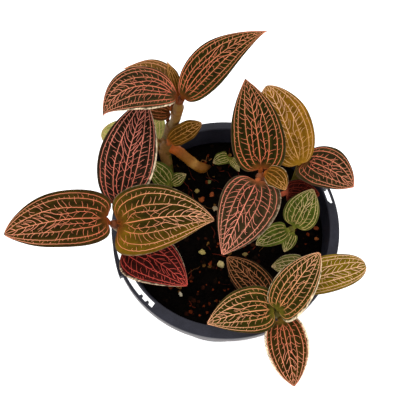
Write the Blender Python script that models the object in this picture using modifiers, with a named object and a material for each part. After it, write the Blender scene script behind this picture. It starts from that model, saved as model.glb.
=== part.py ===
"""Potted jewel orchid: a round nursery pot, its soil, five leafy shoots and four young ones.

The scene is in metres and +Z up. The origin is the centre of the pot's underside, and +Y points to the
back of the plant. The design values below are millimetres and degrees, and MM turns them into metres.
"""
import math
from dataclasses import dataclass

import bmesh
import bpy
import numpy as np
from mathutils import Vector, noise

MM = 0.001
GAP = 0.35
MERGE = 1e-6

# Pot: a tapered wall with a sloping flange and a skirt round its mouth
POT_HEIGHT = 88.0
MOUTH_RADIUS = 47.5
FLOOR_RADIUS = 34.5
WALL = 1.0
FLOOR = 1.6
RIM_RADIUS = 52.5
FLANGE_DROP = 2.2
SKIRT_HEIGHT = 7.5
SKIRT_WALL = 1.0
SKIRT_DRAFT = 0.3
LIP = 0.5
FOOT_BEVEL = 0.8
POT_STEPS = 48
DRAIN_RADIUS = 3.2
DRAIN_CIRCLE = 25.0
DRAIN_COUNT = 6
DRAIN_START = 11.0
DRAIN_SIDES = 12

# Two arc slots through the flange, each with two short teeth
SLOT_IN = 48.7
SLOT_OUT = 51.1
SLOT_STARTS = (18.0, 198.0)
SLOT_SWEEP = 36.0
SLOT_TEETH = (28.0, 32.5)
TOOTH_HALF = 0.6
TOOTH_REACH = 1.0
SLOT_DEPTH = 3.0
SLOT_POINTS = 36

# A notch in the skirt beside the start of the right slot
NOTCH_START = 14.0
NOTCH_SWEEP = 14.0
NOTCH_POINTS = 7
NOTCH_CLEAR = 0.2
NOTCH_IN = 50.4
NOTCH_OUT = 54.0

# A clip on the left of the skirt, which swells towards its front end
CLIP_START = 196.0
CLIP_SWEEP = 15.5
CLIP_POINTS = 8
CLIP_IN = 51.8
CLIP_OUT = 53.9
CLIP_DROP = 0.4
CLIP_HEIGHT = 4.0

# Soil: a full fill with a lumpy top, loose chips pressed into it
SOIL_TOP = 77.0
SOIL_CLEAR = 0.4
SOIL_STEPS = 36
SOIL_RINGS = 7
SOIL_LUMP = 0.9
SWELL = 11.0
CHIP_ROUGHNESS = 0.25
CHIP_RISE = 0.15
HOLE_SIDES = 14
HOLE_FLOOR = 65.0
STEM_FOOT = 78.5

# Blades: columns follow the main veins, rows crowd towards the base
BLADE_THICKNESS = 0.7
COLUMNS = (-1.0, -0.72, -0.38, 0.0, 0.38, 0.72, 1.0)
ROW_POWER = 1.6
MIDRIB_STEPS = 24
LOBE_PEAK = 0.238
NECK = 0.004
FOLD_REACH = 2.0
SWAY_SHIFT = 1.7

# Petioles: their start is narrower, and at a stem's top they stand on a ring
PETIOLE_HALF = 1.2
PETIOLE_ROWS = 2
PETIOLE_START = 0.75
PETIOLE_BEND = 0.35
RING = 0.72
STEM_END = 0.8


@dataclass
class Stem:
    """A fleshy stem: the points of its route from the soil up, and its radius there and at the top."""
    path: tuple
    low: float = 2.6
    top: float = 2.1

    def route(self):
        x, y, _ = self.path[0]
        return np.vstack([(x, y, HOLE_FLOOR), smooth_path(self.path)])

    def radii(self):
        """It thins upwards and ends in a slightly rounded top."""
        count = len(self.route())
        radii = [self.low + (self.top - self.low) * i / (count - 1) for i in range(count)]
        radii[-1] *= STEM_END
        return radii

    def at(self, z):
        """Centre, direction and radius at a height."""
        route = self.route()
        low = max(i for i in range(len(route) - 1) if route[i][2] <= z)
        run = route[low + 1] - route[low]
        part = (z - route[low][2]) / run[2]
        return route[low] + run * part, run / np.linalg.norm(run), self.radii()[low]


@dataclass
class Leaf:
    """One blade on its petiole.

    base is where the blade begins, heading its direction in plan (0 is +X, 90 is +Y) and pitch its rise.
    turn and droop are how far these change by the tip, late how late it turns, and roll and twist tip
    the blade about its midrib.
    belly is where it is widest, round how blunt its base is, lobe how far the base runs back.
    lean shares the lobe, skew the width and pinch the width of the base between its two halves.
    joint is the height on the stem where the petiole leaves, side its direction round the stem.
    """
    base: tuple
    heading: float
    pitch: float
    length: float
    width: float
    joint: float
    droop: float = 10.0
    turn: float = 0.0
    late: float = 1.0
    roll: float = 0.0
    twist: float = 0.0
    belly: float = 0.38
    round: float = 0.55
    lobe: float = 0.10
    lean: float = 0.0
    skew: float = 0.0
    pinch: float = 0.0
    cup: float = 12.0
    fold: float = 0.5
    wave: float = 0.5
    waves: float = 2.0
    phase: float = 0.0
    side: float = None
    petiole: float = PETIOLE_HALF
    rows: int = 8
    tone: str = "olive"


STEMS = {
    "back": Stem(((-28.9, 26.5, STEM_FOOT), (-31, 33.5, 90), (-29.5, 38, 102), (-26.8, 38.6, 114),
                  (-25.2, 39.2, 133))),
    "left": Stem(((-34, -9, STEM_FOOT), (-39, -10.5, 92), (-45, -12.5, 106), (-48.5, -13.4, 115.5))),
    "centre": Stem(((13, 10, STEM_FOOT), (13, 11, 95), (12.6, 12, 110), (12.6, 12, 121))),
    "right": Stem(((31, 25.5, STEM_FOOT), (31.3, 25.6, 92), (31.2, 25.3, 106.5))),
    "front": Stem(((21, -32, STEM_FOOT), (22, -36, 90), (24.6, -42.9, 101.5))),
}
RHIZOME = ((-31, 34.2, 91.5), (-26.4, 34, 90.5), (-20.3, 31, 87.2), (-14.2, 28.8, 82.8),
           (-9.6, 31.2, 79.9))
RHIZOME_RADIUS = 2.4
RHIZOME_END = [1.5, 0.7]

LEAVES = {
    "back": (
        Leaf((-23.6, 38.8, 137.8), 66, 10, 49, 18.5, 133.6, droop=14, turn=-42, lobe=0.03, lean=-1.0,
             belly=0.36, round=0.7, skew=-0.15, pinch=-0.2, side=10),
        Leaf((-27, 38, 139.8), 151, 12, 42, 20.8, 133.7, droop=80, turn=84, lobe=0.05, lean=1.0, skew=0.07,
             belly=0.41, round=1.0, pinch=0.2, cup=-5, side=215),
        Leaf((-27.9, 42.8, 127.5), 127, 15, 29, 16.5, 121.5, droop=45, turn=46, lobe=0.0, round=0.85,
             side=165),
        Leaf((-26.8, 44.9, 131.4), 118, 38, 13, 6, 125.4, droop=10, cup=50, lobe=0.0, side=75, round=0.8,
             rows=5),
        Leaf((-30.5, 41.9, 112.5), 172, -5, 15, 9, 107, droop=10, side=140, rows=5),
        Leaf((-28.5, 30.6, 108), 27, 30, 17, 10, 97, droop=6, roll=45, lobe=0.0, belly=0.45, side=-70,
             skew=0.15, petiole=1.8, rows=5, tone="ochre"),
        Leaf((-35.4, 34.6, 91.4), 97, 8, 18, 9, 89.6, lobe=0.0, round=0.9, belly=0.5, side=175, rows=5,
             tone="lime"),
        Leaf((-43, 35, 97.5), 178, 4, 18, 14, 94.5, droop=10, belly=0.5, side=190, rows=5, tone="lime"),
    ),
    "left": (
        Leaf((-52.5, -12.8, 120), 184, 4, 43.5, 26, 115.8, droop=14, turn=20, lobe=0.13, belly=0.4),
        Leaf((-45, -14, 118), 14, 10, 40.7, 31.4, 116.5, droop=26, turn=-22, late=3, belly=0.33, lobe=0.16,
             lean=-0.1, skew=0.02, pinch=-0.1),
        Leaf((-47.5, -3, 112), 88, 12, 48.5, 25.5, 106, turn=-12, belly=0.42, lobe=0.03, round=0.62),
        Leaf((-43.2, -19.3, 106), -16, -8, 33, 23.5, 100, droop=16, turn=-20, belly=0.34, lobe=0.03,
             side=-80, skew=-0.02, pinch=-0.5, round=0.5, tone="maroon"),
    ),
    "centre": (
        Leaf((12.3, 15.3, 124), 100, 14, 40.5, 23.5, 122, droop=12, turn=9, belly=0.35),
        Leaf((10.9, 8.8, 122.5), -112, -6, 35, 25.7, 122, droop=22, turn=2, belly=0.34, lobe=0.09, lean=0.5,
             skew=0.2),
        Leaf((14.8, 12.3, 126), -20, 10, 11.5, 10, 122, droop=30, turn=-40, lobe=0.0, side=10, rows=5,
             tone="ochre"),
        Leaf((26.5, 14.5, 98), 2, 4, 14.5, 12.5, 92, rows=5, tone="maroon"),
    ),
    "right": (
        Leaf((29.9, 24, 111.6), 114, 15, 38, 24, 107.5, droop=8, turn=8, belly=0.46, round=0.6, lobe=0.06,
             pinch=0.2, side=190, tone="ochre"),
        Leaf((33.6, 26, 109.6), -12, 0, 24, 20.6, 107.2, turn=-22, lobe=0.15, lean=-0.6, droop=18,
             pinch=-0.2, side=10),
    ),
    "front": (
        Leaf((25, -42.2, 106.4), 62, 10, 31, 18.5, 102.8, turn=-8, lobe=0.12, skew=-0.1, lean=-0.5,
             side=60),
        Leaf((22.3, -42.4, 104.8), -174, 0, 29, 21, 102.7, droop=16, turn=20, skew=-0.08, belly=0.34,
             side=170),
        Leaf((27, -46.6, 102.6), -71, -16, 29, 19, 99.5, droop=14, turn=-3, side=-60),
        Leaf((20, -33, 93), 138, 0, 25, 16, 85, droop=8),
        Leaf((30.5, -27.4, 95), 20, 2, 35.5, 17, 84, droop=8, lobe=0.04, round=0.5, belly=0.5, side=30,
             tone="ochre"),
    ),
}

YOUNG_SHOOTS = {
    "young_right": (
        Stem(((30, 0.4, STEM_FOOT), (29.3, -2.2, 97)), 1.8, 1.5),
        (
            Leaf((30.6, -1.2, 98.5), 66, 20, 18.8, 16, 93.5, droop=18, turn=4, belly=0.36, lobe=0.06,
                 rows=5),
            Leaf((26.9, -3.7, 98), -158, 0, 15.2, 10.3, 94, droop=20, turn=14, lobe=0.06, rows=5),
            Leaf((29.8, -4.7, 96.5), -111, 0, 8.8, 6.4, 92, droop=30, lobe=0.06, rows=4),
        ),
    ),
    "young_left": (
        Stem(((-28, 19.3, STEM_FOOT), (-28, 19.3, 82)), 1.5, 1.2),
        (
            Leaf((-28.8, 19.6, 83.6), 145, 38, 14, 11, 80.5, droop=16, rows=4, lobe=0.05),
            Leaf((-26.8, 20, 82.5), 38, 10, 8, 6.5, 80, rows=4, lobe=0.05),
        ),
    ),
    "young_front": (
        Stem(((37.5, -15.5, STEM_FOOT), (38, -16.6, 91)), 1.5, 1.2),
        (Leaf((35.5, -17.2, 92), 186, 0, 14, 10, 89, droop=15, rows=5, lobe=0.06),),
    ),
    "seedling_back": (
        Stem(((-0.5, 35.5, STEM_FOOT), (-0.5, 35.5, 80.5)), 1.2, 1.0),
        (
            Leaf((-2, 36, 81), 205, 20, 7.5, 6.5, 80, droop=60, rows=4),
            Leaf((0, 35, 81), -50, 10, 7, 4, 80, droop=40, rows=4),
        ),
    ),
}

# Chips pressed into the soil: place in plan, size, height to width
CHIPS = (
    (-9.9, -10.9, 2.2, 0.9), (-0.7, -15.9, 3.4, 0.8), (-14.8, 19.3, 2.2, 0.7), (-5.6, 11.1, 1.8, 0.7),
    (-18.0, -31.5, 1.8, 0.7), (42.8, 0.5, 2.2, 0.8), (-9.5, 24.4, 1.6, 0.7), (-12.1, 15.1, 2.8, 0.6),
    (-19.2, -28.0, 2.4, 0.5), (42.4, 5.9, 1.8, 0.6), (10.1, -10.1, 1.8, 0.7), (-7.6, 18.0, 2.4, 0.5),
)

# Colour and roughness of each kind of surface
TONES = {
    "black": ((0.025, 0.026, 0.032), 0.38),
    "earth": ((0.010, 0.008, 0.006), 0.95),
    "bronze": ((0.20, 0.10, 0.03), 0.50),
    "olive": ((0.060, 0.045, 0.020), 0.45),
    "ochre": ((0.30, 0.18, 0.03), 0.45),
    "maroon": ((0.075, 0.025, 0.020), 0.45),
    "green": ((0.12, 0.16, 0.05), 0.45),
    "lime": ((0.28, 0.30, 0.10), 0.45),
}


def smooth_path(points, spans=3):
    """Points on a smooth curve through the given ones."""
    pts = [np.array(p, float) for p in points]
    ends = [2 * pts[0] - pts[1]] + pts + [2 * pts[-1] - pts[-2]]
    out = []
    for a, b, c, d in zip(ends, ends[1:], ends[2:], ends[3:]):
        for k in range(spans):
            t = k / spans
            out.append(0.5 * (2 * b + (c - a) * t + (2 * a - 5 * b + 4 * c - d) * t ** 2
                              + (3 * b - a - 3 * c + d) * t ** 3))
    out.append(pts[-1])
    return np.array(out)


def directions(heading, pitch, roll):
    """Tangent, left side and upper normal of a blade, from angles in radians."""
    level = np.cos(pitch)
    along = np.stack([level * np.cos(heading), level * np.sin(heading), np.sin(pitch)], axis=-1)
    side = np.stack([-np.sin(heading), np.cos(heading), np.zeros_like(heading)], axis=-1)
    up = np.cross(along, side)
    cr = np.cos(roll)[..., None]
    sr = np.sin(roll)[..., None]
    return along, side * cr + up * sr, up * cr - side * sr


def midrib(leaf, s):
    """Midrib points and frames at the distances s from the blade's base, straight behind it."""
    k = np.clip(s / leaf.length, 0.0, 1.0)
    grid = np.linspace(0.0, 1.0, MIDRIB_STEPS + 1)
    mid = (grid[:-1] + grid[1:]) / 2
    run, _, _ = directions(np.radians(leaf.heading + leaf.turn * mid ** leaf.late),
                           np.radians(leaf.pitch - leaf.droop * mid), np.zeros_like(mid))
    path = np.vstack([np.zeros(3), np.cumsum(run, axis=0) * leaf.length / MIDRIB_STEPS])
    points = np.stack([np.interp(k, grid, path[:, i]) for i in range(3)], axis=-1)
    along, side, up = directions(np.radians(leaf.heading + leaf.turn * k ** leaf.late),
                                 np.radians(leaf.pitch - leaf.droop * k),
                                 np.radians(leaf.roll + leaf.twist * k))
    points = points + along * np.minimum(s, 0.0)[..., None]
    return points + np.array(leaf.base, float), side, up


def half_width(leaf, t, u):
    """Width of one half: blunt at the base, widest at the belly, pointed at the tip."""
    sharp = leaf.round * (1.0 - leaf.belly) / leaf.belly
    form = (t / leaf.belly) ** leaf.round * ((1.0 - t) / (1.0 - leaf.belly)) ** sharp
    uneven = 1.0 + leaf.skew * u * np.sqrt(t) + leaf.pinch * u * (1.0 - t) ** 4
    return leaf.width / 2 * form * uneven + leaf.petiole * (1.0 - t) ** 8


def blade(leaf, t, u):
    """Blade points at t from base to tip and u from the right edge, -1, to the left edge, 1."""
    t, u = np.broadcast_arrays(np.asarray(t, float), np.asarray(u, float))
    lobe = leaf.lobe * (1.0 + leaf.lean * u) * np.sqrt(t + NECK) * (1.0 - t) ** 3 / LOBE_PEAK
    w = half_width(leaf, t, u)
    points, side, up = midrib(leaf, leaf.length * (t - lobe * u * u))
    a = w * u
    bend = math.radians(leaf.cup) / (leaf.width / 2)
    y = np.sin(bend * a) / bend
    z = (1.0 - np.cos(bend * a)) / bend + leaf.fold * (1.0 - np.exp(-np.abs(a) / FOLD_REACH))
    sway = np.sin(2 * math.pi * (leaf.waves * t + leaf.phase) + SWAY_SHIFT * (u > 0))
    z = z + leaf.wave * np.abs(u) ** 3 * sway * w / (leaf.width / 2)
    return points + side * y[..., None] + up * z[..., None]


def petiole_root(leaf, stem, joined):
    """Where the petiole begins: inside a stem it is joined to, or else beside it or above its top."""
    azimuth = math.radians(leaf.heading if leaf.side is None else leaf.side)
    out = np.array([math.cos(azimuth), math.sin(azimuth), 0.0])
    top = stem.route()[-1]
    if leaf.joint > top[2]:
        return np.array([top[0], top[1], leaf.joint]) + out * RING * stem.top, out
    centre, along, radius = stem.at(leaf.joint)
    if joined:
        return centre, out
    away = out - along * np.dot(out, along)
    away = away / np.linalg.norm(away)
    return centre + away * (radius + BLADE_THICKNESS / 2 + GAP), out


def petiole(leaf, root, out, q, u):
    """Petiole points at q from the stem, 0, to the blade, 1."""
    base, side, up = midrib(leaf, np.zeros(1))
    base, side, up = base[0], side[0], up[0]
    chord = base - root
    reach = PETIOLE_BEND * np.linalg.norm(chord)
    arrive = np.cross(side, up) + chord / np.linalg.norm(chord)
    p1 = root + np.array([0.0, 0.0, reach]) + out * reach * 0.3
    p2 = base - arrive / np.linalg.norm(arrive) * reach
    point = (1 - q) ** 3 * root + 3 * q * (1 - q) ** 2 * p1 + 3 * q ** 2 * (1 - q) * p2 + q ** 3 * base
    first = np.array([-out[1], out[0], 0.0])
    across = first * (1 - q) + side * q
    across = across / np.linalg.norm(across)
    half = leaf.petiole * (PETIOLE_START + (1 - PETIOLE_START) * q)
    return point + across * half * u


def leaf_mesh(name, leaf, stem, joined):
    """An open triangulated sheet with the outline of the blade and its petiole, from the blade's base."""
    rows = PETIOLE_ROWS + leaf.rows
    columns = len(COLUMNS) - 1
    root, out = petiole_root(leaf, stem, joined)
    bm = bmesh.new()
    bmesh.ops.create_grid(bm, x_segments=rows, y_segments=columns, size=1.0)
    for vert in bm.verts:
        row = round((vert.co.x + 1) / 2 * rows)
        u = COLUMNS[round((vert.co.y + 1) / 2 * columns)]
        if row < PETIOLE_ROWS:
            place = petiole(leaf, root, out, row / PETIOLE_ROWS, u)
        else:
            place = blade(leaf, ((row - PETIOLE_ROWS) / leaf.rows) ** ROW_POWER, u)
        vert.co = Vector(place - np.array(leaf.base, float)) * MM
    bmesh.ops.remove_doubles(bm, verts=bm.verts, dist=MERGE)
    bmesh.ops.triangulate(bm, faces=bm.faces)
    mesh = bpy.data.meshes.new(name)
    bm.to_mesh(mesh)
    bm.free()
    return mesh


def material(name, tone):
    colour, roughness = TONES[tone]
    mat = bpy.data.materials.get(name) or bpy.data.materials.new(name)
    mat.use_nodes = True
    shader = mat.node_tree.nodes["Principled BSDF"]
    shader.inputs["Base Color"].default_value = (*colour, 1.0)
    shader.inputs["Roughness"].default_value = roughness
    shader.inputs["Metallic"].default_value = 0.0
    return mat


def add(name, data, collection):
    obj = bpy.data.objects.new(name, data)
    collection.objects.link(obj)
    return obj


def leaf_object(name, leaf, stem, collection, joined=False):
    obj = add(name, leaf_mesh(name, leaf, stem, joined), collection)
    obj.location = Vector(leaf.base) * MM
    shell = obj.modifiers.new("thickness", "SOLIDIFY")
    shell.thickness = BLADE_THICKNESS * MM
    shell.offset = 0.0
    obj.data.materials.append(material(name, leaf.tone))
    return obj


def tube(name, points, radii, collection):
    """A capped tube through the points, as thick as radii says at each."""
    curve = bpy.data.curves.new(name, "CURVE")
    curve.dimensions = "3D"
    curve.bevel_depth = max(radii) * MM
    curve.bevel_resolution = 2
    curve.use_fill_caps = True
    spline = curve.splines.new("POLY")
    spline.points.add(len(points) - 1)
    for point, place, radius in zip(spline.points, points, radii):
        point.co = (*(Vector(place) * MM), 1.0)
        point.radius = radius / max(radii)
    return add(name, curve, collection)


def stem_object(name, stem, collection):
    return tube(name, stem.route(), stem.radii(), collection)


def baked(obj):
    """The object's evaluated shape as a plain welded mesh object in its place."""
    bpy.context.view_layer.update()
    graph = bpy.context.evaluated_depsgraph_get()
    mesh = bpy.data.meshes.new_from_object(obj.evaluated_get(graph))
    bm = bmesh.new()
    bm.from_mesh(mesh)
    bmesh.ops.remove_doubles(bm, verts=bm.verts, dist=MERGE)
    bm.to_mesh(mesh)
    bm.free()
    name = obj.name
    collection = obj.users_collection[0]
    matrix = obj.matrix_world.copy()
    bpy.data.objects.remove(obj)
    new = bpy.data.objects.new(name, mesh)
    new.matrix_world = matrix
    collection.objects.link(new)
    return new


def boolean(obj, other, operation):
    """Cut the object by another, or join it to every object of a collection."""
    mod = obj.modifiers.new(operation.lower(), "BOOLEAN")
    mod.operation = operation
    mod.solver = "EXACT"
    if isinstance(other, bpy.types.Collection):
        mod.operand_type = "COLLECTION"
        mod.collection = other
    else:
        mod.object = other
    return mod


def fused(obj, others, tone):
    """One body of the object and the others, which are removed, with one material."""
    obj = baked(obj)
    group = bpy.data.collections.new("joined")
    for other in others:
        solid = baked(other)
        group.objects.link(solid)
    boolean(obj, group, "UNION")
    obj = baked(obj)
    for solid in list(group.objects):
        bpy.data.objects.remove(solid)
    bpy.data.collections.remove(group)
    obj.data.materials.clear()
    obj.data.materials.append(material(obj.name, tone))
    return obj


def cutter(obj):
    obj.hide_render = True
    obj.display_type = "WIRE"
    return obj


def turned(name, profile, steps, collection):
    """A body turned from a profile of radius and height, down its outer side."""
    mesh = bpy.data.meshes.new(name)
    points = [(r * MM, 0.0, z * MM) for r, z in profile]
    mesh.from_pydata(points, [(i, i + 1) for i in range(len(points) - 1)], [])
    obj = add(name, mesh, collection)
    screw = obj.modifiers.new("turn", "SCREW")
    screw.axis = "Z"
    screw.steps = steps
    screw.render_steps = steps
    screw.use_merge_vertices = True
    screw.merge_threshold = MERGE
    return obj


def inner_radius(z):
    """The pot's inner radius at a height."""
    return FLOOR_RADIUS - WALL + (MOUTH_RADIUS - FLOOR_RADIUS + WALL) * z / POT_HEIGHT


def pot_profile():
    edge = POT_HEIGHT - FLANGE_DROP
    under = edge - WALL
    skirt = RIM_RADIUS - SKIRT_DRAFT
    return (
        (0.0, FLOOR), (inner_radius(FLOOR), FLOOR), (MOUTH_RADIUS, POT_HEIGHT - LIP),
        (MOUTH_RADIUS + LIP, POT_HEIGHT), (RIM_RADIUS - LIP, edge), (RIM_RADIUS, edge - LIP),
        (skirt, edge - SKIRT_HEIGHT), (skirt - SKIRT_WALL, edge - SKIRT_HEIGHT),
        (RIM_RADIUS - SKIRT_WALL, under), (MOUTH_RADIUS + WALL, under + WALL),
        (FLOOR_RADIUS + FOOT_BEVEL, FOOT_BEVEL), (FLOOR_RADIUS, 0.0), (0.0, 0.0),
    )


def slot_outline(start):
    """Radius and azimuth round an arc slot: out along one arc, past the teeth, back along the other."""
    points = []
    for i in range(SLOT_POINTS + 1):
        angle = start + SLOT_SWEEP * i / SLOT_POINTS
        tooth = any(abs(angle - start - place) < TOOTH_HALF for place in SLOT_TEETH)
        points.append((SLOT_OUT - TOOTH_REACH if tooth else SLOT_OUT, angle))
    for i in range(0, SLOT_POINTS + 1, 3):
        points.append((SLOT_IN, start + SLOT_SWEEP * (1 - i / SLOT_POINTS)))
    return points


def notch_outline():
    """Radius and azimuth round the sector that the notch takes out of the skirt."""
    angles = [NOTCH_START + NOTCH_SWEEP * i / NOTCH_POINTS for i in range(NOTCH_POINTS + 1)]
    return [(NOTCH_OUT, a) for a in angles] + [(NOTCH_IN, a) for a in reversed(angles)]


def clip_outline():
    """Radius and azimuth round the clip, from inside the skirt's wall."""
    parts = [i / CLIP_POINTS for i in range(CLIP_POINTS + 1)]
    outer = [(RIM_RADIUS + (CLIP_OUT - RIM_RADIUS) * k, CLIP_START + CLIP_SWEEP * k) for k in parts]
    return outer + [(CLIP_IN, azimuth) for _, azimuth in reversed(outer)]


def flat_tool(name, outline, low, high, cutters):
    """A hidden solid to cut or join with: an outline of radii and azimuths between two heights."""
    curve = bpy.data.curves.new(name, "CURVE")
    curve.dimensions = "2D"
    curve.fill_mode = "BOTH"
    curve.extrude = (high - low) / 2 * MM
    spline = curve.splines.new("POLY")
    spline.points.add(len(outline) - 1)
    spline.use_cyclic_u = True
    for point, (radius, azimuth) in zip(spline.points, outline):
        angle = math.radians(azimuth)
        point.co = (radius * math.cos(angle) * MM, radius * math.sin(angle) * MM, 0.0, 1.0)
    obj = bpy.data.objects.new(name, curve)
    cutters.objects.link(obj)
    obj.location.z = (low + high) / 2 * MM
    return cutter(baked(obj))


def cylinder(name, radius, low, high, place, sides, collection):
    bm = bmesh.new()
    bmesh.ops.create_cone(bm, cap_ends=True, segments=sides, radius1=radius * MM, radius2=radius * MM,
                          depth=(high - low) * MM)
    mesh = bpy.data.meshes.new(name)
    bm.to_mesh(mesh)
    bm.free()
    obj = bpy.data.objects.new(name, mesh)
    collection.objects.link(obj)
    obj.location = Vector((place[0], place[1], (low + high) / 2)) * MM
    return obj


def make_pot(parts, cutters):
    pot = turned("pot", pot_profile(), POT_STEPS, parts)
    pot.data.materials.append(material("pot", "black"))
    edge = POT_HEIGHT - FLANGE_DROP
    under = edge - WALL - NOTCH_CLEAR
    clip_top = edge - CLIP_DROP
    clip = flat_tool("clip", clip_outline(), clip_top - CLIP_HEIGHT, clip_top, cutters)
    boolean(pot, clip, "UNION")
    for start in SLOT_STARTS:
        slot = flat_tool("slot", slot_outline(start), edge - SLOT_DEPTH, edge + SLOT_DEPTH, cutters)
        boolean(pot, slot, "DIFFERENCE")
    notch = flat_tool("notch", notch_outline(), under - SKIRT_HEIGHT, under, cutters)
    boolean(pot, notch, "DIFFERENCE")
    for i in range(DRAIN_COUNT):
        angle = math.radians(DRAIN_START) + 2 * math.pi * i / DRAIN_COUNT
        place = (DRAIN_CIRCLE * math.cos(angle), DRAIN_CIRCLE * math.sin(angle))
        hole = cutter(cylinder("drain", DRAIN_RADIUS, -FLOOR, 2 * FLOOR, place, DRAIN_SIDES, cutters))
        boolean(pot, hole, "DIFFERENCE")
    pot.data.shade_smooth()
    return pot


def soil_profile():
    top = [(inner_radius(SOIL_TOP) - SOIL_CLEAR) * i / SOIL_RINGS for i in range(SOIL_RINGS + 1)]
    profile = [(r, SOIL_TOP) for r in top]
    profile.append((inner_radius(FLOOR) - SOIL_CLEAR, FLOOR + SOIL_CLEAR))
    profile.append((0.0, FLOOR + SOIL_CLEAR))
    return profile


def chip(index, x, y, size, flat, collection):
    """A small irregular stone or piece of bark, half sunk in the soil."""
    bm = bmesh.new()
    bmesh.ops.create_icosphere(bm, subdivisions=1, radius=size / 2)
    for vert in bm.verts:
        vert.co *= 1.0 + CHIP_ROUGHNESS * noise.noise(vert.co + Vector((float(index), 0.0, 0.5)))
        vert.co.z *= flat
        vert.co *= MM
    mesh = bpy.data.meshes.new("chip")
    bm.to_mesh(mesh)
    bm.free()
    obj = bpy.data.objects.new("chip", mesh)
    obj.location = Vector((x, y, SOIL_TOP + soil_lump(x, y) + CHIP_RISE * size)) * MM
    obj.rotation_euler.z = float(index)
    collection.objects.link(obj)
    return obj


def soil_lump(x, y):
    """Height of the soil's surface above its level: broad swells, and finer ones half as high."""
    place = Vector((x, y, 0.5)) / SWELL
    return SOIL_LUMP * (noise.noise(place) + 0.5 * noise.noise(place * 3.3))


def make_soil(parts, cutters):
    soil = baked(turned("soil", soil_profile(), SOIL_STEPS, parts))
    edge = inner_radius(SOIL_TOP) - SOIL_CLEAR - 1.0
    for vert in soil.data.vertices:
        x, y, z = vert.co / MM
        if z > SOIL_TOP - 1.0 and math.hypot(x, y) < edge:
            vert.co.z += soil_lump(x, y) * MM
    chips = [chip(i, *values, parts) for i, values in enumerate(CHIPS)]
    soil = fused(soil, chips, "earth")
    stems = list(STEMS.values()) + [stem for stem, _ in YOUNG_SHOOTS.values()]
    for stem in stems:
        radius = (stem.low + GAP) / math.cos(math.pi / HOLE_SIDES)
        low = HOLE_FLOOR - GAP
        hole = cylinder("hole", radius, low, SOIL_TOP + 2, stem.path[0], HOLE_SIDES, cutters)
        boolean(soil, cutter(hole), "DIFFERENCE")
    return soil


def make_shoots(parts):
    """The five leafy shoots, each a stem with separate leaves."""
    for name, stem in STEMS.items():
        obj = stem_object(name + "_stem", stem, parts)
        obj.data.materials.append(material(obj.name, "bronze"))
        if name == "back":
            route = smooth_path(RHIZOME)
            radii = [stem.top] * 2 + [RHIZOME_RADIUS] * (len(route) - 4) + RHIZOME_END
            fused(obj, [tube("rhizome", route, radii, parts)], "bronze")
        for i, leaf in enumerate(LEAVES[name], 1):
            leaf_object(f"{name}_leaf_{i}", leaf, stem, parts)


def make_young(parts):
    """The young shoots, each one body of stem and leaves."""
    for name, (stem, leaves) in YOUNG_SHOOTS.items():
        obj = stem_object(name, stem, parts)
        blades = [leaf_object(f"{name}_{i}", leaf, stem, parts, True) for i, leaf in enumerate(leaves)]
        fused(obj, blades, "green")


def main():
    for obj in list(bpy.data.objects):
        bpy.data.objects.remove(obj)
    scene = bpy.context.scene
    parts = bpy.data.collections.new("potted_jewel_orchid")
    cutters = bpy.data.collections.new("cutters")
    scene.collection.children.link(parts)
    scene.collection.children.link(cutters)
    make_pot(parts, cutters)
    make_soil(parts, cutters)
    make_shoots(parts)
    make_young(parts)
    whole = bpy.data.objects.new("potted_jewel_orchid", None)
    parts.objects.link(whole)
    for obj in list(parts.objects):
        if obj is not whole:
            obj.parent = whole


main()
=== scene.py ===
"""Potted jewel orchid: fine pot, potting mix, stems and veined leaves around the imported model."""
import math
from dataclasses import dataclass

import bmesh
import bpy
import numpy as np
from mathutils import Matrix, Vector, noise


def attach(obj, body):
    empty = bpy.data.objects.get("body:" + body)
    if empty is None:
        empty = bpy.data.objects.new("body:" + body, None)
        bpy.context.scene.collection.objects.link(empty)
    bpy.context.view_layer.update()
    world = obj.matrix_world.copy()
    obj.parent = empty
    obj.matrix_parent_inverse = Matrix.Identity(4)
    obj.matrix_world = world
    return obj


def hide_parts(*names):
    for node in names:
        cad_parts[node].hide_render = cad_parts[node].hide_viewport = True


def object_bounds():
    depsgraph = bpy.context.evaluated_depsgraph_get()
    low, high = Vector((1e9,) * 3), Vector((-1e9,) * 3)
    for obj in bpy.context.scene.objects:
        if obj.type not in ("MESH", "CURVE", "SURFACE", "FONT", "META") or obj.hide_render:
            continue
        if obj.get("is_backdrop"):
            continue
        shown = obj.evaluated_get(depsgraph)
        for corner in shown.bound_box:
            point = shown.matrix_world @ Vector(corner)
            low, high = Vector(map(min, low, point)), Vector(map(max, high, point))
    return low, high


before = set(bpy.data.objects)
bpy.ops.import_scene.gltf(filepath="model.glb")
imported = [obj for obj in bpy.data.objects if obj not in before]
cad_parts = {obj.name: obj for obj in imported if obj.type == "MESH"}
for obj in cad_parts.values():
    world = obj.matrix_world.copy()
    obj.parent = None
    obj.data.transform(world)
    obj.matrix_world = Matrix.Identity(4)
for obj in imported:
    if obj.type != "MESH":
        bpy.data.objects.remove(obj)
cad_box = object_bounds()

# Sizes are in millimetres; GAP is the air between a petiole and its stem
MM = 0.001
GAP = 0.35

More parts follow.
